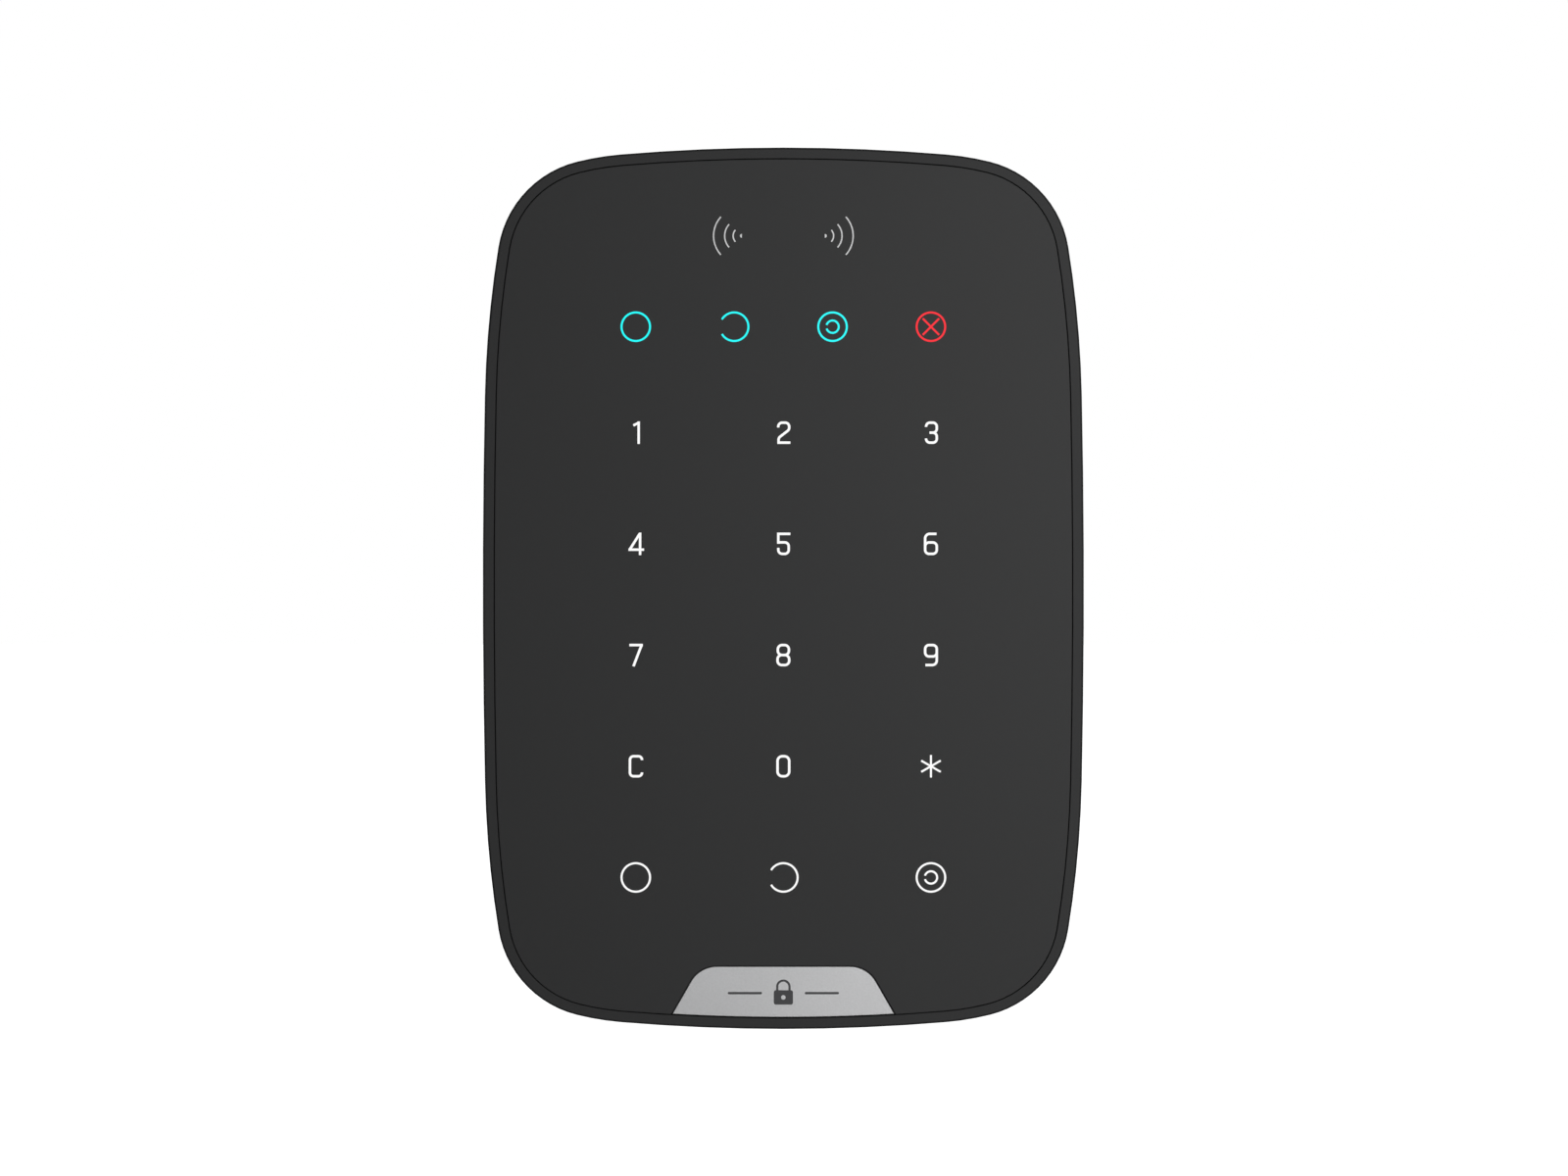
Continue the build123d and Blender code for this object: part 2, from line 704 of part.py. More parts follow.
with BuildPart() as rear_shell:
    with BuildSketch(at_depth(split_depth)):
        add(outline(shell_shadow))
    extrude(amount=shell_back - split_depth, taper=shell_taper)
    fillet(rear_shell.faces().sort_by(Axis.Y)[-1].edges(), back_edge_radius)
    with BuildSketch(at_depth(split_depth)):
        add(outline(shell_shadow + shell_wall))
    extrude(amount=back_inside - split_depth, taper=shell_taper, mode=Mode.SUBTRACT)
    # Lip that reaches inside the bezel
    for outer, low, high in (
        (shell_wall, split_depth - 2.0, split_depth - 0.1),
        (lip_outer_inset, split_depth - 0.2, split_depth + lip_height),
    ):
        with BuildSketch(at_depth(low)):
            add(outline(outer))
            add(outline(lip_inner_inset), mode=Mode.SUBTRACT)
        extrude(amount=high - low)
    # Middle of the back, set in to clear the hooks and screw heads
    with BuildSketch(at_depth(back_inside - 0.2)):
        RectangleRounded(2 * (recess_half_width + back_wall), 2 * (recess_half_height + back_wall), 4)
    extrude(amount=recess_inside - back_inside + 0.2)
    with BuildSketch(at_depth(shell_back - 0.5)):
        RectangleRounded(2 * recess_half_width, 2 * recess_half_height, 2.6)
    extrude(amount=recess_floor - shell_back + 0.5, mode=Mode.SUBTRACT)
    # Blind pockets that the hooks slide up into
    for x, z in hook_places:
        low = z + hook_stem_height / 2 - slide_travel - hook_stem_height - 0.4
        high = z + hook_stem_height / 2 + hook_lip_length + 0.4
        left, right = x - pocket_half_width, x + pocket_half_width
        block(left - pocket_wall, right + pocket_wall, low - pocket_wall, high + pocket_wall,
              recess_inside - 0.2, pocket_front + pocket_wall)
        cut_block(left, right, low, high, recess_inside, pocket_front)
        cut_block(left, right, low, z + hook_stem_height / 2 + hang_gap,
                  recess_floor - 0.5, recess_inside + 0.2)
    # Thick pads and pockets for the two battery covers
    for side in (-1, 1):
        x = side * battery_x
        for end in (-1, 1):
            low, high = sorted((end * (tray_half_length + 0.3), end * (cover_half_length + 1.4)))
            block(x - cover_half_width, x + cover_half_width, low, high, back_inside - 0.2,
                  block_front + back_wall)
        left, right = x - cover_half_width - cover_gap, x + cover_half_width + cover_gap
        reach = cover_half_length + cover_gap
        cut_block(left, right, -reach, reach, shell_back - 0.5, block_back + 0.05)
        cut_block(left, right, -tray_half_length, tray_half_length, shell_back, block_front + 2)
        for end in (-1, 1):
            with Locations((x, -(block_back + block_front + 0.05) / 2, end * cover_screw_z)):
                Box(2 * cover_half_width - 3 + 2 * cover_gap, block_front - block_back + 0.15,
                    2 * cover_block_half_depth + 2 * cover_gap, mode=Mode.SUBTRACT)
    disc(cover_screw_places, 2.7, block_front + 0.1, block_front + 5.5)
    cut_disc(cover_screw_places, pilot_radius, block_front - 0.5, block_front + 4.5)
    # Corner posts for the case screws and inner posts for the board
    disc(case_screw_places, shell_post_radius, back_inside - 0.2, case_boss_split)
    cut_disc(case_screw_places, case_screw_head_radius + 0.3, shell_back - 0.5, case_screw_seat)
    cut_disc(case_screw_places, case_screw_radius + 0.35, shell_back, case_boss_split + 1)
    disc(post_places, post_radius, back_inside - 0.2, board_back)
    cut_disc(post_places, pilot_radius, board_back - 8.0, board_back + 1)
    # Notch for the plate's lip, with the boss for the threaded insert above it
    block(-notch_half_width - shell_wall, notch_half_width + shell_wall, lip_bottom + 0.9,
          notch_top + shell_wall, back_inside - 0.2, notch_front + shell_wall)
    upright([(0, lock_screw_depth)], 4.2, notch_top + 0.5, insert_high + 1.4)
    cut_block(-notch_half_width, notch_half_width, -body_height / 2 - 1, notch_top,
              shell_back - 0.5, notch_front)
    cut_upright([(0, lock_screw_depth)], insert_radius, insert_low, insert_high)
    cut_upright([(0, lock_screw_depth)], lock_screw_radius + 0.3, notch_top - 1, insert_high + 0.9)
    # Openings for the tamper plunger and the power button, and the sound holes
    cut_disc([(0, tamper_z)], plunger_radius + plunger_clearance, recess_floor - 1, recess_inside + 1)
    disc([(button_x, button_z)], button_radius + 1.2, recess_inside - 0.2, recess_inside + guide_length)
    cut_disc([(button_x, button_z)], button_radius + 0.2, recess_floor - 1, recess_inside + guide_length + 1)
    sound_places = [buzzer_place]
    for i in range(6):
        a = radians(60 * i)
        sound_places.append((buzzer_place[0] + 3 * cos(a), buzzer_place[1] + 3 * sin(a)))
    cut_disc(sound_places, 0.6, recess_floor - 1, recess_inside + 1)
rear_shell.part.label = "rear_shell"

with BuildPart() as threaded_insert:
    upright([(0, lock_screw_depth)], insert_radius, insert_low, insert_high)
    cut_upright([(0, lock_screw_depth)], insert_bore_radius, insert_low - 1, insert_high + 1)
threaded_insert.part.label = "threaded_insert"

label_z = first_row_z + 10
with BuildPart() as service_label:
    with BuildSketch(at_depth(recess_floor - 0.12)):
        with Locations((0, label_z)):
            RectangleRounded(34, 20, 1.5)
    extrude(amount=0.12)
service_label.part.label = "service_label"

# ======================================================================
# Bezel frame and front panel
# ======================================================================
with BuildPart() as bezel_frame:
    with BuildSketch(at_depth(split_depth)):
        add(outline(0))
    extrude(amount=body_depth - split_depth)
    fillet(bezel_frame.faces().sort_by(Axis.Y)[0].edges(), front_edge_radius)
    with BuildSketch(at_depth(ledge_front)):
        add(outline(rim_width))
    extrude(amount=panel_thickness + adhesive_thickness, mode=Mode.SUBTRACT)
    fillet(bezel_frame.faces().sort_by(Axis.Y)[0].inner_wires()[0].edges(), seam_edge_radius)
    with BuildSketch(at_depth(ledge_back - 1)):
        add(outline(ledge_inset))
    extrude(amount=ledge_thickness + 2, mode=Mode.SUBTRACT)
    with BuildSketch(at_depth(split_depth)):
        add(outline(bezel_wall))
    extrude(amount=ledge_back - split_depth, mode=Mode.SUBTRACT)
    # Corner bosses for the case screws, each tied to the wall by a rib
    disc(case_screw_places, boss_radius, case_boss_split + 0.2, ledge_front)
    rib_low, rib_high = split_depth + lip_height + 0.3, ledge_back + 0.2
    for sx in (-1, 1):
        for sz in (-1, 1):
            centre = corner_point(case_screw_inset - 2.4)
            place = (sx * centre[0], -(rib_low + rib_high) / 2, sz * centre[1])
            with Locations(Location(place, (0, -45 * sx * sz, 0))):
                Box(4.8, rib_high - rib_low, 1.4)
    cut_disc(case_screw_places, pilot_radius, case_boss_split, case_screw_tip + 0.5)
bezel_frame.part.label = "bezel_frame"

with BuildPart() as front_panel:
    with BuildSketch(at_depth(panel_back)):
        add(outline(panel_inset))
    extrude(amount=panel_thickness)
    fillet(front_panel.faces().sort_by(Axis.Y)[0].edges(), seam_edge_radius)
    all_legends = digit_faces + function_faces + status_faces + fault_faces + wave_faces
    legend_layer(all_legends, body_depth - legend_depth, legend_depth, mode=Mode.SUBTRACT)
    with BuildSketch(at_depth(body_depth - badge_recess - badge_thickness)):
        add(badge_face(badge_gap, panel_inset))
    extrude(amount=badge_thickness + badge_recess, mode=Mode.SUBTRACT)
front_panel.part.label = "front_panel"

with BuildPart() as digit_windows:
    legend_layer(digit_faces, body_depth - legend_depth, legend_depth)
digit_windows.part.label = "digit_windows"

with BuildPart() as function_windows:
    legend_layer(function_faces, body_depth - legend_depth, legend_depth)
function_windows.part.label = "function_windows"

with BuildPart() as status_windows:
    legend_layer(status_faces, body_depth - legend_depth, legend_depth)
status_windows.part.label = "status_windows"

with BuildPart() as fault_window:
    legend_layer(fault_faces, body_depth - legend_depth, legend_depth)
fault_window.part.label = "fault_window"

with BuildPart() as reader_marks:
    legend_layer(wave_faces, body_depth - legend_depth, legend_depth)
reader_marks.part.label = "reader_marks"

with BuildPart() as badge_plate:
    with BuildSketch(at_depth(body_depth - badge_recess - badge_thickness)):
        add(badge_face(0, panel_inset + badge_foot_gap))
    extrude(amount=badge_thickness)
    chamfer(badge_plate.faces().sort_by(Axis.Y)[0].edges(), 0.08)
    with BuildSketch(at_depth(body_depth - badge_recess - emblem_depth)):
        add(emblem_face())
    extrude(amount=emblem_depth, mode=Mode.SUBTRACT)
badge_plate.part.label = "badge_plate"

with BuildPart() as badge_emblem:
    with BuildSketch(at_depth(body_depth - badge_recess - emblem_depth)):
        add(emblem_face())
    extrude(amount=emblem_depth)
badge_emblem.part.label = "badge_emblem"

with BuildPart() as panel_adhesive:
    with BuildSketch(at_depth(ledge_front)):
        add(outline(panel_inset + 0.2))
        add(outline(ledge_inset - 0.2), mode=Mode.SUBTRACT)
    extrude(amount=adhesive_thickness)
panel_adhesive.part.label = "panel_adhesive"

# ======================================================================
# Light layer and board
# ======================================================================
baffle_top = status_row_z + baffle_margin
baffle_bottom = function_row_z - baffle_margin

with BuildPart() as light_baffle:
    half = board_half_width - 0.3
    block(-half, half, baffle_bottom, baffle_top, baffle_back, baffle_front)
    for x, z in light_places:
        half = light_window / 2
        cut_block(x - half, x + half, z - half, z + half, baffle_back - 1, baffle_front + 1)
        half = diffuser_size / 2 + 0.1
        cut_block(x - half, x + half, z - half, z + half, baffle_front - diffuser_thickness, baffle_front + 1)
light_baffle.part.label = "light_baffle"

with BuildPart() as light_diffusers:
    for x, z in light_places:
        half = diffuser_size / 2
        block(x - half, x + half, z - half, z + half, baffle_front - diffuser_thickness, baffle_front)
light_diffusers.part.label = "light_diffusers"

with BuildPart() as touch_electrodes:
    with BuildSketch(at_depth(board_front)):
        with Locations(*key_places):
            Circle(electrode_radius)
            Circle(electrode_radius - electrode_ring, mode=Mode.SUBTRACT)
    extrude(amount=electrode_thickness)
touch_electrodes.part.label = "touch_electrodes"

with BuildPart() as main_board:
    with BuildSketch(at_depth(board_back)):
        RectangleRounded(2 * board_half_width, 2 * board_half_height, 2)
        with Locations(*post_places):
            Circle(case_screw_radius + 0.1, mode=Mode.SUBTRACT)
    extrude(amount=board_thickness)
main_board.part.label = "main_board"

with BuildPart() as board_screws:
    disc(post_places, 2.0, board_front, board_front + 1.2)
    disc(post_places, pilot_radius, board_back - 6.0, board_front + 0.1)
board_screws.part.label = "board_screws"

with BuildPart() as key_leds:
    for x, z in key_places:
        block(x - 1.5, x + 1.5, z - 0.7, z + 0.7, board_front, board_front + 0.7)
key_leds.part.label = "key_leds"

with BuildPart() as status_leds:
    for x, z in status_places:
        block(x - 0.8, x + 0.8, z - 0.8, z + 0.8, board_front, board_front + 0.7)
status_leds.part.label = "status_leds"

coil_z = (status_row_z + reader_row_z) / 2 - 4.0
coil_half_width = board_half_width - 9.4
coil_half_height = 12.0
with BuildPart() as reader_coil:
    for i in range(4):
        with BuildSketch(at_depth(board_back - electrode_thickness)):
            with Locations((0, coil_z)):
                add(loop(coil_half_width - 1.1 * i, coil_half_height - 1.1 * i, 3.0 - 0.5 * i, 0.5))
        extrude(amount=electrode_thickness)
reader_coil.part.label = "reader_coil"


def on_board(x, z, width, height, rise):
    """Part soldered to the wall side of the board."""
    block(x - width / 2, x + width / 2, z - height / 2, z + height / 2, board_back - rise, board_back)


with BuildPart() as reader_chip:
    on_board(0, coil_z, 6, 6, 0.9)
reader_chip.part.label = "reader_chip"

with BuildPart() as controller_chip:
    on_board(-2, key_rows[1] - 4, 10, 10, 1.2)
controller_chip.part.label = "controller_chip"

with BuildPart() as touch_chip:
    on_board(-16, tamper_z, 7, 7, 1.0)
touch_chip.part.label = "touch_chip"

with BuildPart() as radio_shield:
    on_board(13, 24, 18, 14, 2.4)
    chamfer(radio_shield.edges().filter_by(Axis.Y), 0.8)
    fillet(radio_shield.faces().sort_by(Axis.Y)[-1].edges(), 0.3)
radio_shield.part.label = "radio_shield"

with BuildPart() as board_passives:
    for i in range(5):
        on_board(-9 + 3.2 * i, key_rows[1] - 12.5, 1.2, 2.0, 0.7)
        on_board(6 + 3.2 * i, key_rows[3] - 8, 1.2, 2.0, 0.7)
        on_board(-8 + 4.0 * i, coil_z + 5.6, 2.0, 1.2, 0.7)
board_passives.part.label = "board_passives"

with BuildPart() as storage_capacitors:
    disc([(x, key_rows[3] - 8) for x in (-18, -10)], 3.15, board_back - 5.8, board_back)
    fillet(storage_capacitors.faces().sort_by(Axis.Y)[-2:].edges(), 0.4)
storage_capacitors.part.label = "storage_capacitors"

with BuildPart() as buzzer:
    disc([buzzer_place], 6.0, board_back - 4.5, board_back)
    fillet(buzzer.faces().sort_by(Axis.Y)[-1].edges(), 0.3)
    cut_disc([buzzer_place], 0.9, board_back - 5, board_back - 3.5)
buzzer.part.label = "buzzer"

# ======================================================================
# Tamper switch: a sprung plunger that the ramp on the plate holds in
# ======================================================================
plunger_tip = ramp_depth(tamper_z) + ramp_gap
flange_back = housing_back + housing_cap + plunger_travel + 0.2
flange_front = flange_back + plunger_flange_thickness

with BuildPart() as tamper_housing:
    disc([(0, tamper_z)], housing_outer_radius, housing_back, board_back)
    cut_disc([(0, tamper_z)], housing_inner_radius, housing_back + housing_cap, board_back + 1)
    cut_disc([(0, tamper_z)], plunger_radius + 0.15, housing_back - 1, board_back + 1)
tamper_housing.part.label = "tamper_housing"

with BuildPart() as tamper_plunger:
    disc([(0, tamper_z)], plunger_radius, plunger_tip, flange_front)
    fillet(tamper_plunger.faces().sort_by(Axis.Y)[-1].edges(), plunger_radius - 0.3)
    disc([(0, tamper_z)], plunger_flange_radius, flange_back, flange_front)
    disc([(0, tamper_z)], 1.2, flange_front - 0.1, flange_front + 1.2)
tamper_plunger.part.label = "tamper_plunger"

spring_wire = 0.22
spring_run = board_back - flange_front - 2 * spring_wire - 0.1
with BuildPart() as tamper_spring:
    with Locations(Location((0, -flange_front - spring_wire - 0.05, tamper_z), (90, 0, 0))):
        add(coil(1.9, spring_wire, spring_run / 6, spring_run))
tamper_spring.part.label = "tamper_spring"

# ======================================================================
# Power button and its switch
# ======================================================================
button_place = [(button_x, button_z)]
guide_end = recess_inside + guide_length
actuator_back = board_back - switch_height - actuator_length

with BuildPart() as power_button:
    disc(button_place, button_radius, button_face, guide_end + 0.3)
    chamfer(power_button.faces().sort_by(Axis.Y)[-1].edges(), 0.3)
    disc(button_place, button_radius + 0.8, guide_end + 0.2, guide_end + 1.0)
    disc(button_place, button_stem_radius, guide_end + 0.5, actuator_back)
power_button.part.label = "power_button"

with BuildPart() as power_switch_actuator:
    disc(button_place, actuator_radius, actuator_back, board_back - switch_height + 0.6)
power_switch_actuator.part.label = "power_switch_actuator"

with BuildPart() as power_switch_base:
    on_board(button_x, button_z, switch_size, switch_size, switch_height)
    cut_disc(button_place, actuator_radius + 0.2, board_back - switch_height - 1,
             board_back - switch_height + 0.6 + button_travel + 0.4)
power_switch_base.part.label = "power_switch_base"

# ======================================================================
# Battery trays, covers, cells and contacts
# ======================================================================
cell_starts = [-tray_inside_half + contact_thickness + spring_length + i * (cell_length + cell_button_length)
               for i in range(2)]
cell_axes = [(side * battery_x, battery_axis_depth) for side in (-1, 1)]

with BuildPart() as right_battery_tray:
    block(battery_x - tray_half_width, battery_x + tray_half_width, -tray_half_length, tray_half_length,
          tray_back, tray_front)
    cut_upright([(battery_x, battery_axis_depth)], trough_radius, -tray_inside_half, tray_inside_half)
    cut_block(battery_x - trough_radius, battery_x + trough_radius, -tray_inside_half, tray_inside_half,
              tray_back - 1, battery_axis_depth)
    # Notches that let the contact tabs reach the board
    for end in (-1, 1):
        low, high = sorted((end * tray_inside_half, end * (tray_inside_half - 1.2)))
        cut_block(battery_x - tray_half_width - 1, battery_x - 4.5, low, high,
                  board_back - 2.2, board_back + 0.2)
right_battery_tray.part.label = "right_battery_tray"

with BuildPart() as left_battery_tray:
    mirror(right_battery_tray.part, about=Plane.YZ)
left_battery_tray.part.label = "left_battery_tray"

with BuildPart() as right_battery_cover:
    with BuildSketch(at_depth(shell_back)):
        with Locations((battery_x, 0)):
            Rectangle(2 * cover_half_width, 2 * cover_half_length)
    extrude(amount=cover_thickness)
    for end in (-1, 1):
        z = end * cover_screw_z
        half = cover_half_width - 1.5
        block(battery_x - half, battery_x + half, z - cover_block_half_depth, z + cover_block_half_depth,
              block_back - 0.1, block_front)
    ends = [(battery_x, end * cover_screw_z) for end in (-1, 1)]
    cut_disc(ends, 1.3, shell_back - 1, block_front + 1)
    cut_disc(ends, 2.3, shell_back - 1, shell_back + 1.2)
    # Grip grooves near the middle
    for i in range(5):
        z = -4 + 2 * i
        cut_block(battery_x - 5, battery_x + 5, z - 0.4, z + 0.4, shell_back - 1, shell_back + 0.4)
right_battery_cover.part.label = "right_battery_cover"

with BuildPart() as left_battery_cover:
    mirror(right_battery_cover.part, about=Plane.YZ)
left_battery_cover.part.label = "left_battery_cover"


def cross_slots(places, depth, size=0.35):
    """Cross-shaped drive recess in each screw head, cut from the wall side."""
    for x, z in places:
        for long_x, long_z in ((1.3, size / 2), (size / 2, 1.3)):
            cut_block(x - long_x, x + long_x, z - long_z, z + long_z, depth - 0.1, depth + 0.6)


with BuildPart() as cover_screws:
    disc(cover_screw_places, 2.0, shell_back + 0.2, shell_back + 1.2)
    disc(cover_screw_places, pilot_radius, shell_back + 1.1, block_front + 4.0)
    cross_slots(cover_screw_places, shell_back + 0.2)
cover_screws.part.label = "cover_screws"

with BuildPart() as case_screws:
    disc(case_screw_places, case_screw_head_radius, case_screw_seat - case_screw_head_height, case_screw_seat)
    disc(case_screw_places, pilot_radius, case_screw_seat - 0.1, case_screw_tip)
    cross_slots(case_screw_places, case_screw_seat - case_screw_head_height, size=0.5)
case_screws.part.label = "case_screws"

with BuildPart() as battery_cans:
    for start in cell_starts:
        upright(cell_axes, cell_radius, start, start + cell_length)
        cut_upright(cell_axes, cell_radius - cell_can_thickness, start + cell_can_thickness,
                    start + cell_length - cell_can_thickness)
battery_cans.part.label = "battery_cans"

with BuildPart() as battery_cores:
    for start in cell_starts:
        upright(cell_axes, cell_radius - cell_can_thickness, start + cell_can_thickness,
                start + cell_length - cell_can_thickness)
battery_cores.part.label = "battery_cores"

with BuildPart() as battery_terminals:
    for start in cell_starts:
        upright(cell_axes, cell_button_radius, start + cell_length, start + cell_length + cell_button_length)
battery_terminals.part.label = "battery_terminals"

with BuildPart() as battery_springs:
    for x, depth in cell_axes:
        wire = 0.35
        run = spring_length - 2 * wire - 0.1
        with Locations((x, -depth, -tray_inside_half + contact_thickness + wire + 0.05)):
            add(coil(3.0, wire, run / 3.5, run))
battery_springs.part.label = "battery_springs"

with BuildPart() as battery_contacts:
    for side in (-1, 1):
        for end in (-1, 1):
            low, high = sorted((end * tray_inside_half, end * (tray_inside_half - contact_thickness)))
            x = side * battery_x
            block(x - 5, x + 5, low, high, battery_axis_depth - 5, battery_axis_depth + 5)
            inner, outer = sorted((side * (board_half_width - 2.0), side * (battery_x - 4.6)))
            block(inner, outer, low, high, board_back - 2.0, board_back)
battery_contacts.part.label = "battery_contacts"

# ======================================================================
# One file for each separate piece
# ======================================================================
export_step(mounting_plate.part, "parts/mounting_plate.step")
export_step(locking_screw.part, "parts/locking_screw.step")
export_step(rear_shell.part, "parts/rear_shell.step")
export_step(threaded_insert.part, "parts/threaded_insert.step")
export_step(service_label.part, "parts/service_label.step")
export_step(bezel_frame.part, "parts/bezel_frame.step")
export_step(front_panel.part, "parts/front_panel.step")
export_step(digit_windows.part, "parts/digit_windows.step")
export_step(function_windows.part, "parts/function_windows.step")
export_step(status_windows.part, "parts/status_windows.step")
export_step(fault_window.part, "parts/fault_window.step")
export_step(reader_marks.part, "parts/reader_marks.step")
export_step(badge_plate.part, "parts/badge_plate.step")
export_step(badge_emblem.part, "parts/badge_emblem.step")
export_step(panel_adhesive.part, "parts/panel_adhesive.step")
export_step(light_baffle.part, "parts/light_baffle.step")
export_step(light_diffusers.part, "parts/light_diffusers.step")
export_step(touch_electrodes.part, "parts/touch_electrodes.step")
export_step(main_board.part, "parts/main_board.step")
export_step(board_screws.part, "parts/board_screws.step")
export_step(key_leds.part, "parts/key_leds.step")
export_step(status_leds.part, "parts/status_leds.step")
export_step(reader_coil.part, "parts/reader_coil.step")
export_step(reader_chip.part, "parts/reader_chip.step")
export_step(controller_chip.part, "parts/controller_chip.step")
export_step(touch_chip.part, "parts/touch_chip.step")
export_step(radio_shield.part, "parts/radio_shield.step")
export_step(board_passives.part, "parts/board_passives.step")
export_step(storage_capacitors.part, "parts/storage_capacitors.step")
export_step(buzzer.part, "parts/buzzer.step")
export_step(tamper_housing.part, "parts/tamper_housing.step")
export_step(tamper_plunger.part, "parts/tamper_plunger.step")
export_step(tamper_spring.part, "parts/tamper_spring.step")
export_step(power_button.part, "parts/power_button.step")
export_step(power_switch_actuator.part, "parts/power_switch_actuator.step")
export_step(power_switch_base.part, "parts/power_switch_base.step")
export_step(left_battery_tray.part, "parts/left_battery_tray.step")
export_step(right_battery_tray.part, "parts/right_battery_tray.step")
export_step(left_battery_cover.part, "parts/left_battery_cover.step")
export_step(right_battery_cover.part, "parts/right_battery_cover.step")
export_step(cover_screws.part, "parts/cover_screws.step")
export_step(case_screws.part, "parts/case_screws.step")
export_step(battery_cans.part, "parts/battery_cans.step")
export_step(battery_cores.part, "parts/battery_cores.step")
export_step(battery_terminals.part, "parts/battery_terminals.step")
export_step(battery_springs.part, "parts/battery_springs.step")
export_step(battery_contacts.part, "parts/battery_contacts.step")
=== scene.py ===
# %% [markdown]
# # A wall-mounted card reader with a touch keypad
# The real object is a slim plastic box, about as large as an open hand, that hangs
# on a plate screwed to the wall. The front is one flat dark panel in a thin rim. The
# numbers and signs are lit windows in that panel, and a metal badge closes the bottom
# edge. The CAD model already holds every piece at its true size, so this lesson is
# about finishes, light and the camera. Nothing here moves or reshapes a CAD piece.

# %% Load the frame
import json
import math

import bpy
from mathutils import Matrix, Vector


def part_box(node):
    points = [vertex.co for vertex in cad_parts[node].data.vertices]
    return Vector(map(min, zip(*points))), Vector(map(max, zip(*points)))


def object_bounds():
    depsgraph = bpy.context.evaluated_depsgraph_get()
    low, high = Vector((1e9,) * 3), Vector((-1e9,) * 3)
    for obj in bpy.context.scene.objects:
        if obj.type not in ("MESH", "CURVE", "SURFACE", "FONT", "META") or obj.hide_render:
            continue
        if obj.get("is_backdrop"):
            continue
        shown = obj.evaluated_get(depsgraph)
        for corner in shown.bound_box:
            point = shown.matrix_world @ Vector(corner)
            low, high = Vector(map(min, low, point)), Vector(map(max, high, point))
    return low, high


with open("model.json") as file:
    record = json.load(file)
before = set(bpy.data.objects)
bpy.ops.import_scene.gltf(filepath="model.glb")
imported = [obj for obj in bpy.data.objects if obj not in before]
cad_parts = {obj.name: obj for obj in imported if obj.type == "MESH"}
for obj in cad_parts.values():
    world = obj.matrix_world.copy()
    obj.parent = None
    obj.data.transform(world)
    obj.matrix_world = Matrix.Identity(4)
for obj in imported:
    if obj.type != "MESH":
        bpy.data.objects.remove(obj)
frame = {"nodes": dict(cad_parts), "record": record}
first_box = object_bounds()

nodes = frame["nodes"]
print("size in mm:", [round(1000 * (high - low), 2) for low, high in zip(*first_box)])

# %% [markdown]
# ## The camera
# A product picture taken straight on needs a long lens, so that the flat front keeps
# its true outline. A camera with no perspective would keep it too, but then no seam
# or rounded edge would show any depth. The picture's width on the front face decides
# how far away the camera stands: width on the face divided by sensor width, times the
# focal length.
# The camera is a hair off the middle, as a hand-set camera always is.

# %% Camera
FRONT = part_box("front_panel")[0].y
PICTURE_WIDTH = 0.29334
SIDE_STEP = 0.00012
UP_STEP = 0.00006
scene = bpy.context.scene
lens = bpy.data.cameras.new("product_camera")
lens.sensor_width = 36.0
lens.lens = 90.0
lens.clip_start = 0.01
camera = bpy.data.objects.new("product_camera", lens)
scene.collection.objects.link(camera)
distance = PICTURE_WIDTH * lens.lens / lens.sensor_width
camera.location = (SIDE_STEP, FRONT - distance, UP_STEP)
camera.rotation_euler = (math.radians(90), 0, 0)
scene.camera = camera
print("camera stands", round(distance, 3), "m in front of the face")

# %% [markdown]
# ## White surroundings and soft light
# The reader hangs in a bright white room set. The trick of such sets is that the
# white behind the object is not what lights it: black cards at the sides keep the
# outline crisp and dark. A white wall could stand behind, but it would hide the reader
# in a view from there. So the world does it: white where the camera looks straight at
# it, dim for soft light, dimmer still for reflections, and soft boxes do the lighting.

# %% World
scene.view_settings.view_transform = "Standard"
scene.view_settings.look = "None"
WHITE_ROOM = 1.0
DIM_ROOM = 0.24
DARK_CARDS = 0.03
world = bpy.data.worlds.new("white_room")
scene.world = world
world.use_nodes = True
room = world.node_tree
room.nodes.clear()
seen = room.nodes.new("ShaderNodeLightPath")
white = room.nodes.new("ShaderNodeBackground")
dim = room.nodes.new("ShaderNodeBackground")
choose = room.nodes.new("ShaderNodeMixShader")
room_out = room.nodes.new("ShaderNodeOutputWorld")
white.inputs["Color"].default_value = (1, 1, 1, 1)
white.inputs["Strength"].default_value = WHITE_ROOM
dim.inputs["Color"].default_value = (0.96, 0.98, 1.0, 1)
room.links.new(seen.outputs["Is Camera Ray"], choose.inputs["Fac"])
room.links.new(dim.outputs[0], choose.inputs[1])
room.links.new(white.outputs[0], choose.inputs[2])
room.links.new(choose.outputs[0], room_out.inputs["Surface"])
card = room.nodes.new("ShaderNodeMath")
card.operation = "MULTIPLY_ADD"
card.inputs[1].default_value = DARK_CARDS - DIM_ROOM
card.inputs[2].default_value = DIM_ROOM
room.links.new(seen.outputs["Is Glossy Ray"], card.inputs[0])
room.links.new(card.outputs[0], dim.inputs["Strength"])
print("room strength for light:", DIM_ROOM, "for reflections:", DARK_CARDS)

# %% [markdown]
# ## Soft boxes
# A flat front is hard to light: a lamp straight on makes it look like paper, and a
# lamp from the side makes the rim glare. Photographers feather the light instead. The
# key box stands in front and a little to the right, but it is turned past the reader,
# so that only the edge of its beam washes the face and grows weaker to the left. The
# sides get little light, which keeps the outline dark and crisp. Two lamps stand
# almost straight behind, for views from there. They are hidden from reflections, so
# they draw no bright line along the rim.

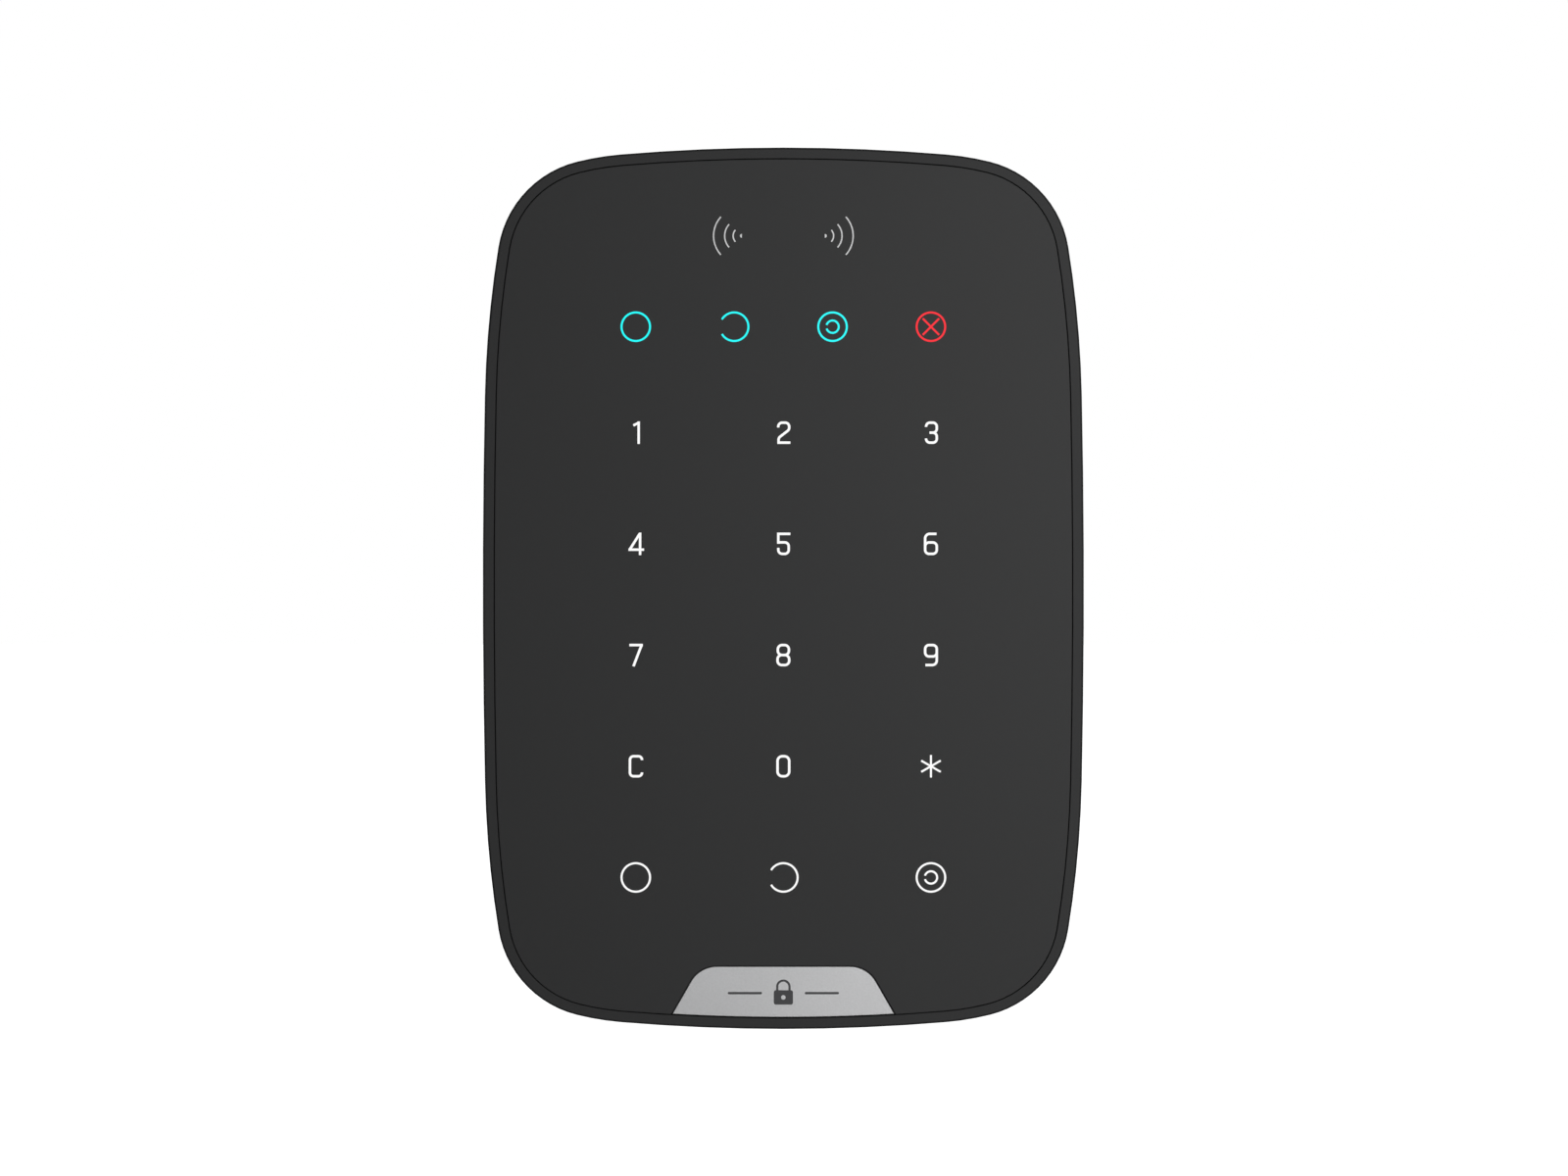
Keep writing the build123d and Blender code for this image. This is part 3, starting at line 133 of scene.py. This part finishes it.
# %% Lights
def soft_box(name, place, aim, size, power, glossy=True):
    light = bpy.data.lights.new(name, "AREA")
    light.shape = "SQUARE"
    light.size = size
    light.energy = power
    lamp = bpy.data.objects.new(name, light)
    scene.collection.objects.link(lamp)
    lamp.location = place
    lamp.rotation_euler = (Vector(aim) - Vector(place)).to_track_quat("-Z", "Y").to_euler()
    lamp.visible_glossy = glossy
    return lamp


CENTRE = (0.0, 0.0, 0.0)
soft_box("key_light", (0.22, -0.56, 0.10), (0.44, 0.0, 0.16), 0.28, 3.05)
soft_box("back_light_left", (-0.45, 1.1, 0.7), CENTRE, 0.7, 14.0, glossy=False)
soft_box("back_light_right", (0.6, 1.1, 0.2), CENTRE, 0.7, 9.0, glossy=False)

# %% [markdown]
# ## The floor
# A plain pale floor lies well below the reader, as a studio table does under a piece
# that hangs in front of a wall. A backdrop curved up behind is common in studios, but
# it would stand in the way from behind, so the floor is flat. It gives a little light
# of its own to the camera so that it stays as white as the room.

# %% Floor
FLOOR_DROP = 0.30
FLOOR_SIZE = 40
floor_material = bpy.data.materials.new("studio_floor")
floor_material.use_nodes = True
floor_tree = floor_material.node_tree
floor_shader = floor_tree.nodes["Principled BSDF"]
floor_shader.inputs["Base Color"].default_value = (0.86, 0.86, 0.86, 1)
floor_shader.inputs["Roughness"].default_value = 0.9
floor_shader.inputs["Specular IOR Level"].default_value = 0.1
floor_shader.inputs["Emission Color"].default_value = (1, 1, 1, 1)
floor_seen = floor_tree.nodes.new("ShaderNodeLightPath")
floor_glow = floor_tree.nodes.new("ShaderNodeMath")
floor_glow.operation = "MULTIPLY"
floor_glow.inputs[1].default_value = WHITE_ROOM
floor_tree.links.new(floor_seen.outputs["Is Camera Ray"], floor_glow.inputs[0])
floor_tree.links.new(floor_glow.outputs[0], floor_shader.inputs["Emission Strength"])

bpy.ops.mesh.primitive_plane_add(size=FLOOR_SIZE, location=(0, 0, -FLOOR_DROP))
floor = bpy.context.object
floor.name = "studio_floor"
floor.data.materials.append(floor_material)
floor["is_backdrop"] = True
print("floor lies", round(first_box[0].z - floor.location.z, 3), "m under the reader")

# %% [markdown]
# ## Building node trees in little code
# Node trees could be wired by hand in the shader editor, but a script can be read and
# run again, and gives the same tree each time.
# Every finish below is a node tree. Three small helpers keep the lessons short: one
# makes a node and sets its values, one joins two sockets, and one starts a node group
# with named inputs and outputs.

# %% Node helpers
def make(tree, kind, values=None, **settings):
    node = tree.nodes.new(kind)
    for name, value in settings.items():
        setattr(node, name, value)
    for socket, value in (values or {}).items():
        node.inputs[socket].default_value = value
    return node


def join(tree, source, target):
    tree.links.new(source, target)


def new_group(name, inputs, outputs):
    group = bpy.data.node_groups.new(name, "ShaderNodeTree")
    for label, kind, start in inputs:
        socket = group.interface.new_socket(name=label, in_out="INPUT", socket_type=kind)
        socket.default_value = start
    for label, kind in outputs:
        group.interface.new_socket(name=label, in_out="OUTPUT", socket_type=kind)
    return group, group.nodes.new("NodeGroupInput"), group.nodes.new("NodeGroupOutput")


NUMBER = "NodeSocketFloat"
print("helpers ready")

# %% [markdown]
# ## Effect 1: spark grain
# Plastic cases come out of a steel mould whose walls were etched by sparks. That
# leaves a dense field of tiny pits, which is why the plastic looks soft and even.
# The pits could be cut into the mesh, but they are a few hundredths of a millimetre
# wide, so a bump is enough. Two layers of noise make them: a fine one for single pits
# and a broader one for the uneven density. The group gives a height for a Bump node,
# and a roughness that follows the same pits, so that highlights break up in step with
# the relief.

# %% Spark grain group
grain, grain_in, grain_out = new_group(
    "spark_grain",
    [("Pits per metre", NUMBER, 5000.0), ("Roughness", NUMBER, 0.5),
     ("Roughness spread", NUMBER, 0.08)],
    [("Height", NUMBER), ("Roughness", NUMBER), ("Mottle", NUMBER)],
)
place = make(grain, "ShaderNodeTexCoord")
fine = make(grain, "ShaderNodeTexNoise", {"Detail": 3.0, "Roughness": 0.6})
broad = make(grain, "ShaderNodeTexNoise", {"Scale": 90.0, "Detail": 4.0, "Roughness": 0.55})
for texture in (fine, broad):
    join(grain, place.outputs["Object"], texture.inputs["Vector"])
join(grain, grain_in.outputs["Pits per metre"], fine.inputs["Scale"])
BROAD_SHARE = 0.25
MIDDLE_OF_BOTH = 0.62
both = make(grain, "ShaderNodeMath", {1: BROAD_SHARE}, operation="MULTIPLY_ADD")
join(grain, broad.outputs["Fac"], both.inputs[0])
join(grain, fine.outputs["Fac"], both.inputs[2])
centred = make(grain, "ShaderNodeMath", {1: MIDDLE_OF_BOTH}, operation="SUBTRACT")
join(grain, both.outputs[0], centred.inputs[0])
rough = make(grain, "ShaderNodeMath", operation="MULTIPLY_ADD", use_clamp=True)
join(grain, centred.outputs[0], rough.inputs[0])
join(grain, grain_in.outputs["Roughness spread"], rough.inputs[1])
join(grain, grain_in.outputs["Roughness"], rough.inputs[2])
join(grain, both.outputs[0], grain_out.inputs["Height"])
join(grain, rough.outputs[0], grain_out.inputs["Roughness"])
join(grain, broad.outputs["Fac"], grain_out.inputs["Mottle"])
print("group", grain.name, "nodes:", len(grain.nodes))

# %% [markdown]
# ## Effect 2: rubbed edges
# Hands and screwdrivers polish and pale the outer edges of dark plastic first. A mask
# of the edges could be painted, but paint has to be done again when a size changes.
# The Bevel node rounds the normal near an edge, so comparing it with the true normal
# finds the edges by itself. Noise breaks the band up, because wear is never even.

# %% Rubbed edge group
edges, edges_in, edges_out = new_group(
    "rubbed_edges",
    [("Amount", NUMBER, 0.3), ("Patches per metre", NUMBER, 400.0)],
    [("Mask", NUMBER)],
)
EDGE_REACH = 0.0006
rounded = make(edges, "ShaderNodeBevel", {"Radius": EDGE_REACH}, samples=4)
true_normal = make(edges, "ShaderNodeNewGeometry")
agree = make(edges, "ShaderNodeVectorMath", operation="DOT_PRODUCT")
join(edges, rounded.outputs["Normal"], agree.inputs[0])
join(edges, true_normal.outputs["Normal"], agree.inputs[1])
band = make(edges, "ShaderNodeMapRange", {"From Min": 0.995, "From Max": 0.80})
join(edges, agree.outputs["Value"], band.inputs["Value"])
spot_place = make(edges, "ShaderNodeTexCoord")
spots = make(edges, "ShaderNodeTexNoise", {"Detail": 4.0, "Roughness": 0.65})
join(edges, spot_place.outputs["Object"], spots.inputs["Vector"])
join(edges, edges_in.outputs["Patches per metre"], spots.inputs["Scale"])
broken = make(edges, "ShaderNodeMapRange", {"From Min": 0.42, "From Max": 0.62})
join(edges, spots.outputs["Fac"], broken.inputs["Value"])
worn = make(edges, "ShaderNodeMath", operation="MULTIPLY")
join(edges, band.outputs["Result"], worn.inputs[0])
join(edges, broken.outputs["Result"], worn.inputs[1])
amount = make(edges, "ShaderNodeMath", operation="MULTIPLY", use_clamp=True)
join(edges, worn.outputs[0], amount.inputs[0])
join(edges, edges_in.outputs["Amount"], amount.inputs[1])
join(edges, amount.outputs[0], edges_out.inputs["Mask"])
print("group", edges.name, "nodes:", len(edges.nodes))

# %% [markdown]
# ## Effect 3: painted shade on the flanks
# The flanks of the case get a darker colour and a rougher skin than its faces that look
# to the front and to the wall. The darker colour is painted shade: the sides face away
# from the light, and the dark tone draws a dark line round the front. A second material
# on the side faces would change at a hard line. Reading the surface normal instead lets
# the tone turn over the rounded edge: the mask is one where a surface looks sideways, up
# or down, and zero where it looks to the front or to the wall.

# %% Flank group
flank_shade, flank_shade_in, flank_shade_out = new_group(
    "painted_flank_shade",
    [("Amount", NUMBER, 1.0)],
    [("Mask", NUMBER)],
)
wall_normal = make(flank_shade, "ShaderNodeNewGeometry")
wall_parts = make(flank_shade, "ShaderNodeSeparateXYZ")
join(flank_shade, wall_normal.outputs["Normal"], wall_parts.inputs["Vector"])
squareness = make(flank_shade, "ShaderNodeMath", operation="ABSOLUTE")
join(flank_shade, wall_parts.outputs["Y"], squareness.inputs[0])
# Mask for painted shade: one where the surface looks sideways, up or down.
sideways = make(flank_shade, "ShaderNodeMapRange", {"From Min": 0.99, "From Max": 0.94})
join(flank_shade, squareness.outputs[0], sideways.inputs["Value"])
flank_amount = make(flank_shade, "ShaderNodeMath", operation="MULTIPLY", use_clamp=True)
join(flank_shade, sideways.outputs["Result"], flank_amount.inputs[0])
join(flank_shade, flank_shade_in.outputs["Amount"], flank_amount.inputs[1])
join(flank_shade, flank_amount.outputs[0], flank_shade_out.inputs["Mask"])
print("group", flank_shade.name, "nodes:", len(flank_shade.nodes))

# %% [markdown]
# ## Effect 4: settled dust
# Dust lies on what faces up: the top edge of the case, the upper side of a rib, a
# screw head. Grains could be scattered as small meshes, but on an object that hangs
# in a room they are far too fine to be seen one by one. So the upward part of the
# surface normal gives a mask, and cloudy noise makes it thin and uneven.

# %% Dust group
dust, dust_in, dust_out = new_group(
    "settled_dust",
    [("Amount", NUMBER, 0.15)],
    [("Mask", NUMBER)],
)
facing = make(dust, "ShaderNodeNewGeometry")
apart = make(dust, "ShaderNodeSeparateXYZ")
join(dust, facing.outputs["Normal"], apart.inputs["Vector"])
upward = make(dust, "ShaderNodeMapRange", {"From Min": 0.35, "From Max": 0.95})
join(dust, apart.outputs["Z"], upward.inputs["Value"])
dust_place = make(dust, "ShaderNodeTexCoord")
cloud = make(dust, "ShaderNodeTexNoise", {"Scale": 2400.0, "Detail": 6.0, "Roughness": 0.7})
join(dust, dust_place.outputs["Object"], cloud.inputs["Vector"])
thin = make(dust, "ShaderNodeMapRange", {"From Min": 0.35, "From Max": 0.7})
join(dust, cloud.outputs["Fac"], thin.inputs["Value"])
settled = make(dust, "ShaderNodeMath", operation="MULTIPLY")
join(dust, upward.outputs["Result"], settled.inputs[0])
join(dust, thin.outputs["Result"], settled.inputs[1])
layer = make(dust, "ShaderNodeMath", operation="MULTIPLY", use_clamp=True)
join(dust, settled.outputs[0], layer.inputs[0])
join(dust, dust_in.outputs["Amount"], layer.inputs[1])
join(dust, layer.outputs[0], dust_out.inputs["Mask"])
print("group", dust.name, "nodes:", len(dust.nodes))

# %% [markdown]
# ## Effect 5: drawn metal lines
# Screws, contact plates and battery cans are rolled, drawn or turned, and each way
# leaves fine lines along one direction. A wave texture could draw lines too, but they
# would all be alike. Noise stretched along one axis gives lines of uneven strength and
# spacing, as on real metal. The group gives their height and a roughness that follows
# them.

# %% Drawn lines group
lines, lines_in, lines_out = new_group(
    "drawn_lines",
    [("Lines per metre", NUMBER, 6000.0), ("Roughness", NUMBER, 0.3),
     ("Roughness spread", NUMBER, 0.15)],
    [("Height", NUMBER), ("Roughness", NUMBER)],
)
line_place = make(lines, "ShaderNodeTexCoord")
stretch = make(lines, "ShaderNodeMapping", {"Scale": (1.0, 1.0, 0.04)})
drawn = make(lines, "ShaderNodeTexNoise", {"Detail": 2.0, "Roughness": 0.5})
join(lines, line_place.outputs["Object"], stretch.inputs["Vector"])
join(lines, stretch.outputs["Vector"], drawn.inputs["Vector"])
join(lines, lines_in.outputs["Lines per metre"], drawn.inputs["Scale"])
line_centre = make(lines, "ShaderNodeMath", {1: 0.5}, operation="SUBTRACT")
join(lines, drawn.outputs["Fac"], line_centre.inputs[0])
line_rough = make(lines, "ShaderNodeMath", operation="MULTIPLY_ADD", use_clamp=True)
join(lines, line_centre.outputs[0], line_rough.inputs[0])
join(lines, lines_in.outputs["Roughness spread"], line_rough.inputs[1])
join(lines, lines_in.outputs["Roughness"], line_rough.inputs[2])
join(lines, drawn.outputs["Fac"], lines_out.inputs["Height"])
join(lines, line_rough.outputs[0], lines_out.inputs["Roughness"])
print("group", lines.name, "nodes:", len(lines.nodes))

# %% [markdown]
# ## Two helpers for mixing colours
# One places an effect group in a material with that material's own values. The other
# mixes two colours, each of which may be a fixed colour or come from another node, so
# a finish can be written as a short chain of layers.

# %% Material helpers
def group_node(tree, group, values):
    return make(tree, "ShaderNodeGroup", values, node_tree=group)


def mix_colour(tree, amount, first, second):
    mix = make(tree, "ShaderNodeMix", data_type="RGBA")
    for value, socket in ((amount, mix.inputs[0]), (first, mix.inputs[6]), (second, mix.inputs[7])):
        if isinstance(value, bpy.types.NodeSocket):
            join(tree, value, socket)
        else:
            socket.default_value = value
    return mix.outputs[2]


print("material helpers ready")

# %% [markdown]
# ## A recipe for moulded plastic
# The case, the panel, the plate and the small black parts are all injection-moulded,
# so they share one recipe with their own numbers: colour, how fine the grain is, how
# rough it is, and how much wear and dust it has gathered. Each could have a material
# of its own wired from nothing, but then one change to the grain would have to be made
# nine times. The colour is mixed in steps, as a painter would: base tone, slight
# mottling, painted shade on the flanks where the piece has them, pale rubbed edges, dust on top.

# %% Moulded plastic
FLANK_DULLING = 0.35
WEAR_PATCHES = 350.0
DUST_TONE = (0.42, 0.40, 0.37, 1)
PALE_GAIN, PALE_LIFT = 1.6, 0.02
MILLIMETRE = 0.001


def moulded_plastic(name, tone, pits=5000.0, rough=0.5, relief=0.02, mottle=0.06,
                    wear=0.25, dusty=0.12, gloss=0.3, flank_shade_tone=None):
    material = bpy.data.materials.new(name)
    material.use_nodes = True
    tree = material.node_tree
    shader = tree.nodes["Principled BSDF"]
    skin = group_node(tree, grain, {"Pits per metre": pits, "Roughness": rough})
    rubbed = group_node(tree, edges, {"Amount": wear, "Patches per metre": WEAR_PATCHES})
    settle = group_node(tree, dust, {"Amount": dusty})
    dark = (*[c * (1 - mottle) for c in tone], 1)
    light = (*[c * (1 + mottle) for c in tone], 1)
    pale = (*[min(1.0, c * PALE_GAIN + PALE_LIFT) for c in tone], 1)
    base = mix_colour(tree, skin.outputs["Mottle"], dark, light)
    roughness = skin.outputs["Roughness"]
    # Painted shade: the flanks get a darker colour than the front, which draws the dark line round
    # the front.
    if flank_shade_tone:
        wall = group_node(tree, flank_shade, {"Amount": 1.0}).outputs["Mask"]
        base = mix_colour(tree, wall, base, (*flank_shade_tone, 1))
        duller = make(tree, "ShaderNodeMath", {1: FLANK_DULLING}, operation="MULTIPLY_ADD",
                      use_clamp=True)
        join(tree, wall, duller.inputs[0])
        join(tree, roughness, duller.inputs[2])
        roughness = duller.outputs[0]
    base = mix_colour(tree, rubbed.outputs["Mask"], base, pale)
    base = mix_colour(tree, settle.outputs["Mask"], base, DUST_TONE)
    join(tree, base, shader.inputs["Base Color"])
    join(tree, roughness, shader.inputs["Roughness"])
    bump = make(tree, "ShaderNodeBump", {"Strength": 0.35, "Distance": relief * MILLIMETRE})
    join(tree, skin.outputs["Height"], bump.inputs["Height"])
    join(tree, bump.outputs["Normal"], shader.inputs["Normal"])
    shader.inputs["Specular IOR Level"].default_value = gloss
    return material


print("plastic recipe ready")

# %% [markdown]
# ## The plastic finishes
# Case and panel are nearly the same dark grey with a fine, even grain, kept clean
# because the front is what hands touch and wipe. The plate behind is coarser and more
# worn, as it is handled with tools. Chips are epoxy, which is moulded too. The small
# ceramic parts, the adhesive ring and the inner mass of the cells are not plastic, but
# so little of them ever shows that the same recipe with other numbers does for them.

# %% Plastic finishes
finishes = {
    # The case's flank tone is painted shade, darker than its front tone, for the dark outline.
    "case_plastic": moulded_plastic(
        "case_plastic", (0.0285, 0.0286, 0.0288), rough=0.58, mottle=0.02, wear=0.04,
        dusty=0.03, gloss=0.12, flank_shade_tone=(0.015, 0.015, 0.0153)),
    "panel_plastic": moulded_plastic(
        "panel_plastic", (0.0245, 0.0246, 0.0248), pits=7000.0, rough=0.58, relief=0.01,
        mottle=0.02, wear=0.0, dusty=0.0, gloss=0.2),
    "plate_plastic": moulded_plastic(
        "plate_plastic", (0.035, 0.035, 0.037), pits=3500.0, relief=0.04, mottle=0.10),
    "black_plastic": moulded_plastic("black_plastic", (0.012, 0.012, 0.013), pits=4000.0, rough=0.6),
    "button_plastic": moulded_plastic("button_plastic", (0.30, 0.30, 0.31), pits=6000.0, rough=0.42),
    "chip": moulded_plastic("chip", (0.015, 0.015, 0.016), pits=9000.0, rough=0.55, relief=0.01),
    "ceramic": moulded_plastic("ceramic", (0.28, 0.19, 0.11), pits=8000.0, rough=0.45),
    "adhesive": moulded_plastic("adhesive", (0.02, 0.02, 0.02), pits=2500.0, rough=0.85, relief=0.15),
    "cell_core": moulded_plastic("cell_core", (0.05, 0.05, 0.05), pits=2500.0, rough=0.9, relief=0.2),
}
print("plastic finishes:", sorted(finishes))

# %% [markdown]
# ## Metals
# Metal has no colour of its own under the reflection: the tint sits in the mirror
# image. A grey gloss paint could come close from one side, but it would keep a dull
# body colour from all others. So the recipe sets Metallic to one, tints the base and
# lets the drawn lines break up the reflection. Handling leaves faint darker blotches.

# %% Metal recipe
TOOL_MARKS = 800.0
BRIGHT_GAIN = 1.25


def drawn_metal(name, tone, rough=0.3, line_count=6000.0, relief=0.01, tarnish=0.15, wear=0.0):
    material = bpy.data.materials.new(name)
    material.use_nodes = True
    tree = material.node_tree
    shader = tree.nodes["Principled BSDF"]
    skin = group_node(tree, lines, {"Lines per metre": line_count, "Roughness": rough,
                                    "Roughness spread": 0.2})
    spots = group_node(tree, grain, {"Pits per metre": 1500.0})
    rubbed = group_node(tree, edges, {"Amount": wear, "Patches per metre": TOOL_MARKS})
    dull = (*[c * (1 - tarnish) for c in tone], 1)
    base = mix_colour(tree, spots.outputs["Mottle"], dull, (*tone, 1))
    bright = (*[min(1.0, c * BRIGHT_GAIN) for c in tone], 1)
    base = mix_colour(tree, rubbed.outputs["Mask"], base, bright)
    join(tree, base, shader.inputs["Base Color"])
    join(tree, skin.outputs["Roughness"], shader.inputs["Roughness"])
    bump = make(tree, "ShaderNodeBump", {"Strength": 0.3, "Distance": relief * MILLIMETRE})
    join(tree, skin.outputs["Height"], bump.inputs["Height"])
    join(tree, bump.outputs["Normal"], shader.inputs["Normal"])
    shader.inputs["Metallic"].default_value = 1.0
    return material


print("metal recipe ready")

# %% [markdown]
# ## The metal finishes
# Screws are bright and rubbed at the driver slot, the insert is brass, the can over
# the radio is tinned sheet, and springs are smooth wire. Battery cans have a dark
# printed skin over steel, so a dark tint does for them. The copper of the coil and the
# ring electrodes has begun to brown, which the larger tarnish value gives.

# %% Metal finishes
finishes.update(
    steel_screw=drawn_metal("steel_screw", (0.55, 0.55, 0.57), rough=0.32, wear=0.4),
    brass_insert=drawn_metal("brass_insert", (0.72, 0.52, 0.22), rough=0.28, wear=0.3),
    shield=drawn_metal("shield", (0.66, 0.66, 0.65), rough=0.35, line_count=3000.0),
    spring_steel=drawn_metal("spring_steel", (0.62, 0.62, 0.64), rough=0.22),
    cell_can=drawn_metal("cell_can", (0.18, 0.22, 0.30), rough=0.30, line_count=2500.0),
    copper=drawn_metal("copper", (0.78, 0.36, 0.20), rough=0.30, line_count=4000.0, tarnish=0.3),
)
print("metal finishes added, total:", len(finishes))

# %% [markdown]
# ## The badge: bead-blasted aluminium
# The badge is stamped from thin aluminium, blasted with glass beads and anodised. The
# blasting leaves a very even, fine sparkle with no direction, and the cut edge is
# brighter than the face. Pure metal would only mirror the dark cards and look black,
# so the finish is three quarters metal and rough, which keeps it a pale, even grey.

# %% Badge finish
badge = bpy.data.materials.new("badge_metal")
badge.use_nodes = True
tree = badge.node_tree
shader = tree.nodes["Principled BSDF"]
blast = group_node(tree, grain, {"Pits per metre": 2600.0, "Roughness": 0.46,
                                 "Roughness spread": 0.16})
cut_edge = group_node(tree, edges, {"Amount": 0.5, "Patches per metre": 900.0})
face_tone = mix_colour(tree, blast.outputs["Height"], (0.46, 0.46, 0.464, 1), (0.575, 0.575, 0.58, 1))
edge_tone = mix_colour(tree, cut_edge.outputs["Mask"], face_tone, (0.70, 0.70, 0.71, 1))
join(tree, edge_tone, shader.inputs["Base Color"])
join(tree, blast.outputs["Roughness"], shader.inputs["Roughness"])
bead_bump = make(tree, "ShaderNodeBump", {"Strength": 0.3, "Distance": 0.02 * MILLIMETRE})
join(tree, blast.outputs["Height"], bead_bump.inputs["Height"])
join(tree, bead_bump.outputs["Normal"], shader.inputs["Normal"])
shader.inputs["Metallic"].default_value = 0.75
finishes["badge_metal"] = badge
finishes["badge_print"] = moulded_plastic("badge_print", (0.05, 0.05, 0.052), pits=6000.0, rough=0.4,
                                          wear=0.0, dusty=0.0)
print("badge finish ready")

# %% [markdown]
# ## Lit signs
# The numbers and signs are clear windows in the dark panel with a small lamp behind
# each. Light that really passed from those lamps through the windows would be slow to
# render and grainy, so the window's own material glows instead. A lit window is even
# in colour but not quite in brightness, because the milky diffuser behind it has a
# soft structure. So the glow changes a little with a fine noise, and the surface is
# the same satin as the panel.

# %% Lit window recipe
def lit_window(name, glow, strength, body):
    material = bpy.data.materials.new(name)
    material.use_nodes = True
    tree = material.node_tree
    shader = tree.nodes["Principled BSDF"]
    milk = group_node(tree, grain, {"Pits per metre": 1800.0, "Roughness": 0.42,
                                    "Roughness spread": 0.1})
    join(tree, mix_colour(tree, milk.outputs["Mottle"], (*[c * 0.97 for c in glow], 1), (*glow, 1)),
         shader.inputs["Emission Color"])
    join(tree, mix_colour(tree, milk.outputs["Mottle"], (*[c * 0.9 for c in body], 1), (*body, 1)),
         shader.inputs["Base Color"])
    join(tree, milk.outputs["Roughness"], shader.inputs["Roughness"])
    shader.inputs["Emission Strength"].default_value = strength
    shader.inputs["Specular IOR Level"].default_value = 0.2
    return material


finishes.update(
    white_legend=lit_window("white_legend", (1.0, 1.0, 1.0), 0.98, (0.03, 0.03, 0.03)),
    cyan_legend=lit_window("cyan_legend", (0.006, 1.0, 1.0), 0.98, (0.004, 0.03, 0.03)),
    red_legend=lit_window("red_legend", (1.0, 0.006, 0.020), 0.98, (0.03, 0.003, 0.004)),
    diffuser=lit_window("diffuser", (1.0, 1.0, 0.96), 0.6, (0.8, 0.8, 0.78)),
    led=lit_window("led", (1.0, 0.97, 0.88), 2.0, (0.8, 0.78, 0.6)),
)
print("lit finishes added, total:", len(finishes))

# %% [markdown]
# ## Print, paper, board and sleeve
# The arcs that show where to hold a card are printed, not lit, in a mid grey ink.
# The label on the back is plain paper, the circuit board is glass fibre under a green
# resist, and the capacitors wear a shrunk plastic sleeve. Each could have a recipe of
# its own, but all four are a coloured skin with some grain, so the plastic recipe fits
# them with other numbers: broad grain and a rough skin for paper, a glossy one for the
# board and the sleeve.

# %% Remaining finishes
finishes.update(
    grey_print=moulded_plastic("grey_print", (0.60, 0.60, 0.60), pits=9000.0, rough=0.5,
                               relief=0.005, mottle=0.05, wear=0.0, dusty=0.0),
    label_paper=moulded_plastic("label_paper", (0.62, 0.62, 0.60), pits=1400.0, rough=0.8,
                                relief=0.05, mottle=0.04, wear=0.0, dusty=0.1),
    board=moulded_plastic("board", (0.012, 0.12, 0.045), pits=2200.0, rough=0.3, relief=0.03,
                          mottle=0.2, gloss=0.5),
    capacitor=moulded_plastic("capacitor", (0.02, 0.03, 0.09), pits=2500.0, rough=0.25,
                              mottle=0.1, gloss=0.5),
)
print("finishes in all:", len(finishes))

# %% [markdown]
# ## Giving each piece its finish
# Finishes could be given piece by piece, but one is soon forgotten among so many. The
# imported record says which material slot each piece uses, so one loop dresses the whole
# model. A piece whose finish is missing would stop the loop, so nothing stays bare.

# %% Dress the pieces
slot_of = {part["node"]: part["material_slot"] for part in frame["record"]["subparts"]}
for name, piece in nodes.items():
    finish = finishes[slot_of[name]]
    for slot in piece.material_slots:
        slot.material = finish
print("dressed", len(nodes), "pieces with", len({slot_of[n] for n in nodes}), "finishes")

# %% [markdown]
# The box of the dressed model is measured again and compared with the CAD model's box,
# and the largest change is printed.

# %% Compare the boxes
last_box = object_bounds()
changes = [abs(a - b) for first, last in zip(first_box, last_box) for a, b in zip(first, last)]
print("largest change of the box in mm:", round(1000 * max(changes), 4))
